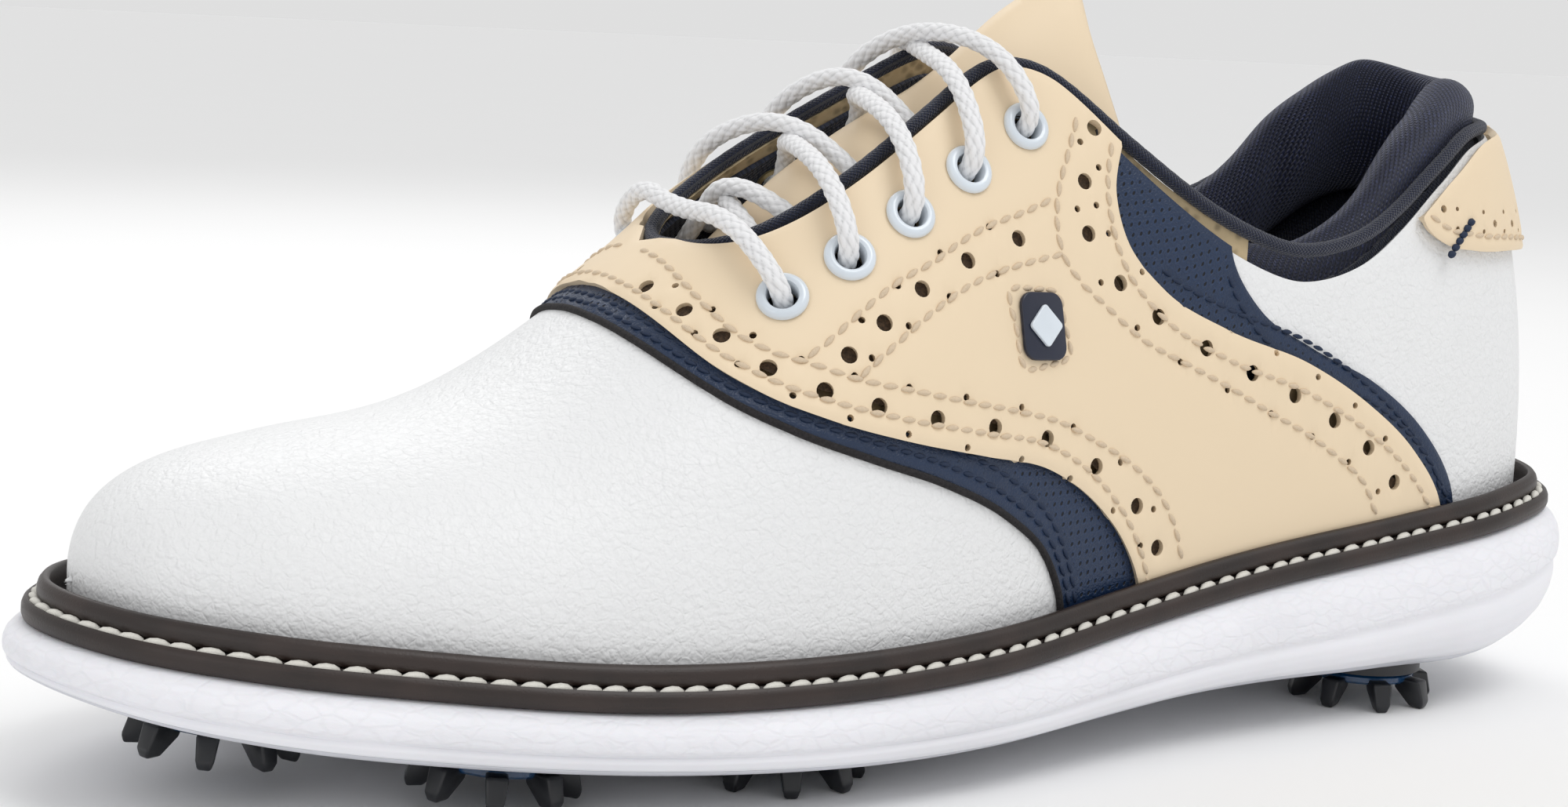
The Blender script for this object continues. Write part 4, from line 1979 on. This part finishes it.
@dataclass
class Tongue:
    """Padded tongue: nubuck face, foam and cloth back in one sewn piece."""

    half: float = 22.0
    face_level: float = -12.6
    back_level: float = -17.8
    front: float = -46.0
    top: tuple = (
        (-4, 142), (9, 130), (17, 128), (27, 123), (37, 116), (46, 107), (51, 96), (53, 80),
        (54, 60),
    )
    fill: float = 0.6
    rows: int = 72
    columns: int = 34

    def height(self, x: Points, y: Points, level: float) -> Points:
        """Height of the form over plan points."""
        y0, y1, ridge, feather, crown, side, top = LAST.section(x, 0.0)
        crown = crown + level
        end = np.where(y < ridge, y0 - level, y1 + level)
        out = np.clip(np.abs(y - ridge) / np.maximum(np.abs(end - ridge), 1e-6), 0, 0.98)
        return feather + crown * (1 - out ** side) ** (1 / top)

    def rear(self, y: Points) -> Points:
        """Where the tongue's top edge lies for each y."""
        x = np.linspace(0, 53, 400)
        found = []
        for one in y:
            gap = self.height(x, np.full(len(x), one), self.face_level) - along(self.top, x)
            over = np.flatnonzero(gap > 0)
            found.append(x[over[0]] if len(over) else 53.0)
        return np.array(found)

    def build(self) -> None:
        """Builds the tongue as a closed crowned form."""
        u = np.concatenate([np.linspace(0, 0.85, self.rows - 14, endpoint=False), np.linspace(0.85, 1, 14)])
        v = np.sin(np.linspace(-1, 1, self.columns) * math.pi / 2)
        back = self.rear(v * self.half)
        back = np.convolve(np.pad(back, 6, mode="edge"), np.ones(13) / 13, mode="valid")
        x = self.front + u[:, None] * (back - 0.3 - self.front)[None, :]
        y = np.broadcast_to(v * self.half, x.shape)
        top = self.height(x.ravel(), y.ravel(), self.face_level).reshape(x.shape)
        low = self.height(x.ravel(), y.ravel(), self.back_level).reshape(x.shape)
        lift = 3.5 * smooth(x, 2.0, 22.0) * (1 - v[None, :] ** 2)
        top, low = top + lift, low + lift
        middle = (top + low) / 2
        blunt = (1 - np.clip((u[:, None] - 0.9) / 0.1, 0, 1) ** 3) ** 0.5
        swell = (1 - np.abs(v[None, :]) ** 6) ** 0.5 * blunt
        swell = swell * (0.55 + 0.45 * smooth(u, 0.0, 0.12))[:, None]
        upper = middle + (top - middle) * swell
        lower = middle + (low - middle) * swell
        face = np.stack([x, y, upper], axis=-1).reshape(-1, 3)
        under = np.stack([x, y, lower], axis=-1).reshape(-1, 3)
        rows, columns = x.shape
        quads = [f[::-1] for f in grid_faces(rows, columns)]
        count = len(face)
        faces = quads + [tuple(i + count for i in f[::-1]) for f in quads]
        border = (
            [i * columns for i in range(rows)]
            + [(rows - 1) * columns + j for j in range(1, columns)]
            + [i * columns + columns - 1 for i in range(rows - 2, -1, -1)]
            + [j for j in range(columns - 2, 0, -1)]
        )
        for one, two in zip(border, border[1:] + border[:1]):
            faces.append((one, two, two + count, one + count))
        verts = np.vstack([face, under])
        far = np.full(len(verts), FAR)
        uv = np.vstack([np.column_stack([x.ravel(), y.ravel()])] * 2) / 10
        piece = add_mesh("padded_tongue", verts, faces, uv, {"edge": far, "hole": far, "seam": far})
        merge(piece)
        self._two_sides(piece)
        shade(piece, 70.0)
        finish_piece(
            piece, "tongue", [TAN_NUBUCK, LINING_WEAVE],
            ["tongue_face", "tongue_foam", "tongue_back"],
        )

    def _two_sides(self, piece: bpy.types.Object) -> None:
        """Marks the faces that look down into the shoe as the cloth back."""
        for polygon in piece.data.polygons:
            x, y, z = (c / MM for c in polygon.center)
            face = float(self.height(np.array([x]), np.array([y]), self.face_level)[0])
            back = float(self.height(np.array([x]), np.array([y]), self.back_level)[0])
            below = z < back + 0.3 * (face - back) and polygon.normal.z < 0.2
            polygon.material_index = 1 if below else 0


# ---- sole --------------------------------------------------------------------------------------
@dataclass
class Sole:
    """Midsole, outsole, welt with its sewing, and the sockliner."""

    side: tuple = (
        (0.0, 11.5), (0.02, 9.0), (0.06, 6.4), (0.12, 4.0), (0.19, 2.2), (0.27, 1.1), (0.36, 0.6),
        (0.415, 0.75), (0.44, 0.95), (0.465, 0.55), (0.51, 0.1), (0.58, 0.0), (0.68, 0.05),
        (0.78, 0.45), (0.87, 1.3), (0.94, 2.5), (0.98, 3.7), (1.0, 5.0),
    )
    crease: float = 0.44
    outsole: float = 2.6
    stations: int = 460
    socket_radius: float = 11.3
    socket_depth: float = 7.0
    stitch_inset: float = 4.75
    stitch_level: float = 3.25
    stitch_pitch: float = 4.3
    stitch_lean: float = 13.0

    def loop(self, inset: float, step: float) -> Points:
        """The sole outline drawn in, cut finely, with its first point again at its end."""
        line = LAST.inset(inset)
        return even(np.vstack([line, line[:1]]), step)

    def ring(self, inset: float) -> Points:
        """The sole outline drawn in, with one point a station."""
        loop = self.loop(inset, 0.3)
        return loop[np.linspace(0, len(loop) - 1, self.stations + 1)[:-1].astype(int)]

    def sweep(self, name: str, section: Pairs) -> bpy.types.Object:
        """A closed band round the shoe.

        Args:
            name: Name of the piece.
            section: Closed outline of the band, as inset from the sole's edge and height above
                the midsole's top.

        Returns:
            The piece.
        """
        rings = []
        for inset, height in section:
            loop = self.ring(inset)
            rings.append(np.column_stack([loop, along(LAST.midsole_top, loop[:, 0]) + height]))
        verts = np.stack(rings, axis=1)
        length = reach_of(rings[0])
        girth = reach_of(np.array(section, float))
        uv = np.array([(s, g) for s in length for g in girth]) / 10
        faces = grid_faces(len(verts), len(section), True, True)
        piece = add_mesh(name, verts.reshape(-1, 3), faces, uv)
        merge(piece)
        return piece

    def body(self, name: str, low: float, high: float) -> bpy.types.Object:
        """Closed slice of the sole between two heights above its bottom.

        Args:
            name: Name of the piece.
            low: Lower face above the sole's bottom.
            high: Upper face above the sole's bottom, or 0 for the sole's top.

        Returns:
            The piece.
        """
        heights = np.array([h for h, _ in self.side])
        insets = np.array([i for _, i in self.side])
        steps = 42 if high == 0 else 8
        base = self.ring(0.0)
        inward = self._inward(base)
        x = base[:, 0]
        bottom, top = along(LAST.sole_bottom, x), along(LAST.midsole_top, x)
        full = top - bottom
        start = low / full
        stop = np.ones(len(x)) if high == 0 else high / full
        rings, band = [], []
        turn = np.linspace(0, 1, steps)
        if high == 0:
            turn = 0.5 - 0.5 * np.cos(np.linspace(0, math.pi, steps))
        crease = self.crease + 0.16 * smooth(x, 60.0, 150.0) - 0.05 * smooth(-x, 90.0, 150.0)
        for share in turn:
            h = start + (stop - start) * share
            above = self.crease + (h - crease) / (1 - crease) * (1 - self.crease)
            shifted = np.where(h < crease, h / crease * self.crease, above)
            inset = np.interp(shifted, heights, insets)
            plan = base + inward * inset[:, None]
            rings.append(np.column_stack([plan, bottom + h * full]))
            band.append(smooth(h - crease, 0.0, 0.06) * (1 - smooth(h, 0.93, 1.0)))
        verts = np.stack(rings, axis=1)
        band = np.stack(band, axis=1)
        rows, columns = verts.shape[:2]
        faces = grid_faces(rows, columns, True, False)
        flat = verts.reshape(-1, 3)
        extra, extra_band = [], []
        for end in (0, columns - 1):
            outer = [i * columns + end for i in range(rows)]
            plan = verts[:, end]
            previous = outer
            for share in (0.75, 0.45, 0.15):
                ring = plan[:, :2] * [0.55 + 0.45 * share, share]
                z = self._level(ring[:, 0], end == 0, low, high)
                numbers = [len(flat) + len(extra) + i for i in range(rows)]
                extra += [(*p, h) for p, h in zip(ring, z)]
                extra_band += [0.0] * rows
                for i in range(rows):
                    j = (i + 1) % rows
                    quad = (previous[i], previous[j], numbers[j], numbers[i])
                    faces.append(quad if end == 0 else quad[::-1])
                previous = numbers
            half = rows // 2
            for i in range(half):
                j, k, l = (i + 1) % rows, (rows - 1 - i) % rows, (rows - i) % rows
                corners = [previous[i], previous[j], previous[k], previous[l]]
                kept = list(dict.fromkeys(corners))
                if len(kept) > 2:
                    faces.append(tuple(kept if end == 0 else kept[::-1]))
        every = np.vstack([flat, np.array(extra)])
        values = np.concatenate([band.ravel(), np.array(extra_band)])
        piece = add_mesh(name, every, faces, values={"band": values})
        merge(piece)
        return piece

    def _level(self, x: Points, below: bool, low: float, high: float) -> Points:
        """Height of the slice's lower or upper face at x."""
        bottom = along(LAST.sole_bottom, x)
        if below:
            return bottom + low
        return along(LAST.midsole_top, x) if high == 0 else bottom + high

    def _inward(self, loop: Points) -> Points:
        """Inward unit vectors of a closed plan line."""
        ahead = unit(np.roll(loop, -1, axis=0) - np.roll(loop, 1, axis=0))
        return np.column_stack([-ahead[:, 1], ahead[:, 0]])

    def cut_sockets(self, piece: bpy.types.Object, seats: Sequence["Seat"]) -> None:
        """Cuts a round pocket for each spike."""
        for seat in seats:
            deselect()
            bpy.ops.mesh.primitive_cylinder_add(
                vertices=48, radius=self.socket_radius * MM, depth=2 * self.socket_depth * MM
            )
            cutter = bpy.context.object
            cutter.data.transform(seat.matrix())
            apply_modifier(
                piece, "BOOLEAN", operation="DIFFERENCE", solver="EXACT", object=cutter
            )
            bpy.data.objects.remove(cutter)

    def welt(self) -> None:
        """Outer strip and storm bead, with the thick sewing that lies between them."""
        strip = [
            (7.0, 0.05), (3.6, 0.05), (3.0, 0.35), (2.75, 1.1), (2.8, 2.3), (3.1, 3.05), (3.55, 3.45),
            (4.0, 3.35), (4.25, 3.0), (4.45, 2.7), (4.9, 2.62), (5.3, 2.75), (5.6, 3.3), (7.0, 3.4),
        ]
        piece = self.sweep("welt_strip", strip)
        shade(piece, 50.0)
        finish_piece(piece, "shoe", [WELT_BROWN], ["welt"])
        bead = [
            (7.05, 3.45), (5.75, 3.45), (5.3, 3.75), (5.05, 4.4), (5.1, 5.3), (5.35, 6.1), (5.8, 6.7),
            (6.3, 6.95), (6.8, 6.9), (7.05, 6.6),
        ]
        piece = self.sweep("storm_bead_strip", bead)
        shade(piece, 50.0)
        finish_piece(piece, "shoe", [WELT_BROWN], ["storm_bead"])
        self.welt_sewing()

    def welt_sewing(self) -> None:
        """Heavy lock stitches all round the welt's channel."""
        step = 0.5
        loop = self.loop(self.stitch_inset, step)
        count = int(len(loop) * step / self.stitch_pitch)
        at = (np.arange(count) * (len(loop) - 1) / count).astype(int)
        plans = (loop[(at + shift) % (len(loop) - 1)] for shift in (0, 2, -2))
        place, front, rear = (
            np.column_stack([p, along(LAST.midsole_top, p[:, 0]) + self.stitch_level]) for p in plans
        )
        tangent = unit(front - rear)
        inward = unit(np.column_stack([-tangent[:, 1], tangent[:, 0], np.zeros(len(tangent))]))
        up = np.cross(tangent, inward)
        lean = math.radians(self.stitch_lean)
        first = unit(tangent * math.cos(lean) + inward * math.sin(lean))
        frames = np.stack([first, np.cross(up, first), up], axis=1)
        sewing = Sewing("welt_sewing", WELT_THREAD, "lace_cotton", 0.0, self.stitch_pitch, 1.5, 0.85)
        piece = copies("welt_sewing", sewing.stitch(self.stitch_pitch * 1.06), place, frames)
        shade(piece, 60.0)
        finish_piece(piece, "shoe", [WELT_THREAD])

    def build(self, seats: Sequence["Seat"]) -> None:
        """Builds the sole's pieces."""
        midsole = self.body("midsole_shell", self.outsole + 0.05, 0.0)
        self.cut_sockets(midsole, seats)
        shade(midsole, 50.0)
        finish_piece(midsole, "shoe", [SOLE_WHITE], ["midsole"])
        outsole = self.body("outsole_plate", 0.0, self.outsole)
        self.cut_sockets(outsole, seats)
        shade(outsole, 40.0)
        finish_piece(outsole, "shoe", [OUTSOLE_WHITE], ["outsole"])
        self.welt()


@dataclass
class Seat:
    """Where a spike sits under the sole."""

    name: str
    x: float
    y: float
    z: float
    pitch: float

    def matrix(self) -> Matrix:
        """Place of the seat, in metres."""
        turn = Matrix.Rotation(math.radians(self.pitch), 4, "Y")
        return Matrix.Translation(Vector((self.x, self.y, self.z)) * MM) @ turn


SEATS = (
    Seat("toe", -121, -3, 12.2, 6.7),
    Seat("front_lateral", -84, -27, 8.6, 4.4),
    Seat("front_medial", -91, 27, 9.2, 4.8),
    Seat("ball_lateral", -34, -29, 6.5, 0.0),
    Seat("ball_medial", -46, 29, 6.5, 0.0),
    Seat("heel_lateral", 99, -19, 6.5, 0.0),
    Seat("heel_medial", 99, 20, 6.5, 0.0),
)


@dataclass
class Spike:
    """Soft spike: black legs round a deep blue disc, with a locking stem."""

    legs: int = 8
    height: float = 6.5
    radius: float = 14.0
    disc: float = 10.0
    leg_width: float = 3.6

    def leg(self) -> bpy.types.Object:
        """One leg along +X, shaped from a cube, in millimetres."""
        deselect()
        bpy.ops.mesh.primitive_cube_add(size=1.0, location=(0, 0, 0))
        piece = bpy.context.object
        outline = {
            (-1, 1): (self.disc - 2.6, -0.9), (1, 1): (self.radius - 1.2, -1.2),
            (-1, -1): (self.disc - 2.2, -3.0), (1, -1): (self.radius - 0.2, -self.height + 1.4),
        }
        for vertex in piece.data.vertices:
            key = (1 if vertex.co.x > 0 else -1, 1 if vertex.co.z > 0 else -1)
            x, z = outline[key]
            y = self.leg_width / 2 * (1 if vertex.co.y > 0 else -1) * (0.8 if key[1] < 0 else 1.0)
            vertex.co = (x, y, z)
        activate(piece)
        bpy.ops.object.mode_set(mode="EDIT")
        bpy.ops.mesh.select_mode(type="FACE")
        bpy.ops.mesh.select_all(action="DESELECT")
        bpy.ops.object.mode_set(mode="OBJECT")
        for polygon in piece.data.polygons:
            polygon.select = polygon.normal.z < -0.6
        bpy.ops.object.mode_set(mode="EDIT")
        bpy.ops.mesh.extrude_region_move(TRANSFORM_OT_translate={"value": (1.3, 0, -2.0)})
        bpy.ops.transform.resize(value=(0.42, 0.72, 0.12))
        bpy.ops.object.mode_set(mode="OBJECT")
        low = min(v.co.z for v in piece.data.vertices)
        for vertex in piece.data.vertices:
            if vertex.co.z < -self.height + 1.3:
                vertex.co.z += (-self.height - low) * 0.98
                vertex.co.x = min(vertex.co.x, self.radius)
        apply_modifier(
            piece, "BEVEL", width=0.45, segments=3, limit_method="ANGLE",
            angle_limit=math.radians(25),
        )
        return piece

    def hub(self) -> bpy.types.Object:
        """Disc, hub and stem, turned from one section, in millimetres."""
        section = [
            (0.0, 4.6), (4.2, 4.6), (4.6, 4.2), (4.6, -0.3), (9.6, -0.3), (10.0, -0.7),
            (10.0, -1.6), (9.6, -2.0), (7.6, -2.15), (5.0, -2.15), (4.7, -2.5), (4.4, -2.95),
            (3.6, -3.0), (3.2, -2.6), (2.0, -2.5), (0.0, -2.5),
        ]
        return turned("spike_section", section, closed=False, steps=48)

    def build(self, seats: Sequence[Seat]) -> None:
        """Models one spike and sets a copy in every seat."""
        hub = self.hub()
        leg = self.leg()
        pieces = [hub]
        for i in range(self.legs):
            copy = linked("spike_leg", leg.data.copy())
            copy.data.transform(Matrix.Rotation(2 * math.pi * (i + 0.5) / self.legs, 4, "Z"))
            pieces.append(copy)
        bpy.data.objects.remove(leg)
        hub.data.materials.append(SPIKE_BLUE.material())
        for polygon in hub.data.polygons:
            polygon.material_index = 0
        for piece in pieces[1:]:
            piece.data.materials.append(SPIKE_BLACK.material())
        deselect()
        for piece in pieces:
            piece.select_set(True)
        bpy.context.view_layer.objects.active = hub
        bpy.ops.object.join()
        shade(hub, 35.0)
        for seat in seats:
            made = hub.copy()
            made.data = hub.data.copy()
            made.name = f"spike_{seat.name}_cleat"
            bpy.context.scene.collection.objects.link(made)
            made.data.transform(Matrix.Scale(MM, 4))
            made.data.transform(seat.matrix())
            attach(made, f"spike_{seat.name}")
            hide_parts(f"spike_{seat.name}")
        bpy.data.objects.remove(hub)


@dataclass
class Badge:
    """Plain rounded plate with a raised rhomb, on the lateral side of the saddle."""

    place: tuple[float, float] = (9.0, 74.2)
    width: float = 9.5
    height: float = 11.5
    thick: float = 0.9
    level: float = 1.8

    def frame(self, level: float) -> Matrix:
        """The badge's place and axes."""
        spot = LAST.place(np.array([self.place[0]]), np.array([self.place[1]]), Side.LATERAL, level)
        middle = LAST.point(spot, level)[0]
        normal = LAST.normal(spot, level)[0]
        across = unit((np.array([1.0, 0.0, 0.0]) - normal * normal[0])[None])[0]
        up = np.cross(normal, across)
        axes = Matrix((across, up, normal)).transposed().to_4x4()
        return Matrix.Translation(Vector(middle)) @ axes

    def plate(
        self, name: str, width: float, height: float, low: float, thick: float, corner: float,
        turn: float,
    ) -> bpy.types.Object:
        """A bevelled block at the badge's place."""
        deselect()
        bpy.ops.mesh.primitive_cube_add(size=1.0)
        piece = bpy.context.object
        piece.name = name
        piece.data.transform(Matrix.Diagonal((width, height, thick, 1.0)))
        piece.data.transform(Matrix.Translation((0, 0, low + thick / 2)))
        activate(piece)
        bpy.ops.object.mode_set(mode="EDIT")
        bpy.ops.mesh.select_mode(type="EDGE")
        bpy.ops.mesh.select_all(action="DESELECT")
        bpy.ops.object.mode_set(mode="OBJECT")
        for edge in piece.data.edges:
            one, two = (piece.data.vertices[i].co for i in edge.vertices)
            edge.select = abs(one.z - two.z) > thick / 2
        bpy.ops.object.mode_set(mode="EDIT")
        bpy.ops.mesh.bevel(offset=corner, segments=6, profile=0.5, affect="EDGES")
        bpy.ops.object.mode_set(mode="OBJECT")
        apply_modifier(
            piece, "BEVEL", width=thick * 0.3, segments=3, limit_method="ANGLE",
            angle_limit=math.radians(50),
        )
        piece.data.transform(Matrix.Rotation(math.radians(turn), 4, "Z"))
        piece.data.transform(Matrix.Scale(MM, 4) @ self.frame(self.level))
        shade(piece, 35.0)
        return piece

    def build(self) -> None:
        """Builds the plate and its emblem."""
        plate = self.plate("badge_plaque", self.width, self.height, 0.05, self.thick, 2.4, 0.0)
        finish_piece(plate, "shoe", [BADGE_DARK], ["badge_plate"])
        rhomb = self.plate("badge_rhomb", 5.4, 5.4, self.thick + 0.08, 0.65, 0.7, 45.0)
        finish_piece(rhomb, "shoe", [BADGE_PALE], ["badge_emblem"])


# ---- carried-over nodes and the studio -----------------------------------------------------------
@dataclass
class Carried:
    """CAD nodes that keep their shape and get a better finish."""

    finishes: dict[str, Finish] = field(default_factory=lambda: {
        "toe_puff": BOARD_FIBRE, "heel_counter": BOARD_FIBRE, "saddle_backer": BOARD_FIBRE,
        "insole_board": BOARD_FIBRE, "bottom_filler": CORK_FILL, "shank": SHANK_STEEL,
        "eyelet_washers": WASHER_BRASS, "spike_receptacles": SOCKET_NYLON, "aglets": AGLET_FILM,
        "sockliner": SOCK_CLOTH,
    })

    def build(self, nodes: dict[str, bpy.types.Object]) -> None:
        """Gives each node its finish."""
        for name, finish in self.finishes.items():
            nodes[name].data.materials.clear()
            nodes[name].data.materials.append(finish.material())
            log.info("%s: finish %s", name, finish.name)


@dataclass
class Studio:
    """Floor, lights and camera."""

    target: tuple[float, float, float] = (-0.020, 0.0, 0.0572)
    azimuth: float = -30.0
    elevation: float = 7.9
    distance: float = 0.463
    roll: float = 2.7
    lens: float = 61.5
    world: float = 0.74
    sky: float = 0.35

    def floor(self) -> None:
        """A wide pale floor."""
        deselect()
        bpy.ops.mesh.primitive_plane_add(size=60.0)
        floor = bpy.context.object
        floor.name = "studio_floor"
        floor.data.materials.append(FLOOR_WHITE.material())

    def light(self, name: str, place: tuple, aim: tuple, size: float, power: float) -> None:
        """A square soft light aimed at a point."""
        lamp = bpy.data.lights.new(name, "AREA")
        lamp.size = size
        lamp.energy = power
        holder = linked(name, lamp)
        holder.location = place
        holder.rotation_euler = (Vector(aim) - Vector(place)).to_track_quat("-Z", "Y").to_euler()

    def build(self) -> None:
        """Sets up the studio."""
        self.floor()
        world = bpy.data.worlds.new("studio")
        world.use_nodes = True
        background = world.node_tree.nodes["Background"]
        background.inputs["Color"].default_value = (1.0, 1.0, 1.0, 1.0)
        background.inputs["Strength"].default_value = self.world
        bpy.context.scene.world = world
        self.light("key", (0.25, -0.55, 1.1), (0, 0, 0.05), 0.6, 3.0)
        self.light("fill", (-0.9, -0.5, 0.45), (-0.05, 0, 0.05), 0.5, 0.8)
        self.light("back", (0.2, 0.9, 0.9), (0.05, 0, 0.05), 0.7, 3.0)
        sun = bpy.data.lights.new("skylight", "SUN")
        sun.energy = self.sky
        sun.angle = math.radians(40)
        holder = linked("skylight", sun)
        holder.rotation_euler = (math.radians(18), math.radians(14), 0.0)
        bpy.context.scene.view_settings.view_transform = "Standard"
        self.camera()

    def camera(self) -> None:
        """The camera at the object's three-quarter view."""
        a, e, r = (math.radians(v) for v in (self.azimuth, self.elevation, self.roll))
        back = Vector((math.sin(a) * math.cos(e), -math.cos(a) * math.cos(e), math.sin(e)))
        forward = -back
        right = forward.cross(Vector((0, 0, 1))).normalized()
        up = right.cross(forward)
        turned = right * math.cos(r) + up * math.sin(r)
        raised = up * math.cos(r) - right * math.sin(r)
        camera = bpy.data.cameras.new("camera")
        camera.lens = self.lens
        camera.sensor_width = 36.0
        camera.clip_start = 0.01
        holder = linked("camera", camera)
        axes = Matrix((turned, raised, back)).transposed().to_4x4()
        holder.matrix_world = Matrix.Translation(Vector(self.target) + back * self.distance) @ axes
        bpy.context.scene.camera = holder


def main() -> None:
    """Builds every piece in order and writes how large the model is."""
    logging.basicConfig(level=logging.INFO, format="%(message)s")
    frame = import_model()
    deselect()
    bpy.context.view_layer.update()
    Studio().build()
    Carried().build(frame["nodes"])
    upper = Upper()
    upper.build()
    Binding().build()
    Lacing().build(upper)
    Collar().build()
    Tongue().build()
    Sole().build(SEATS)
    Spike().build(SEATS)
    Badge().build()


if __name__ == "__main__":
    main()
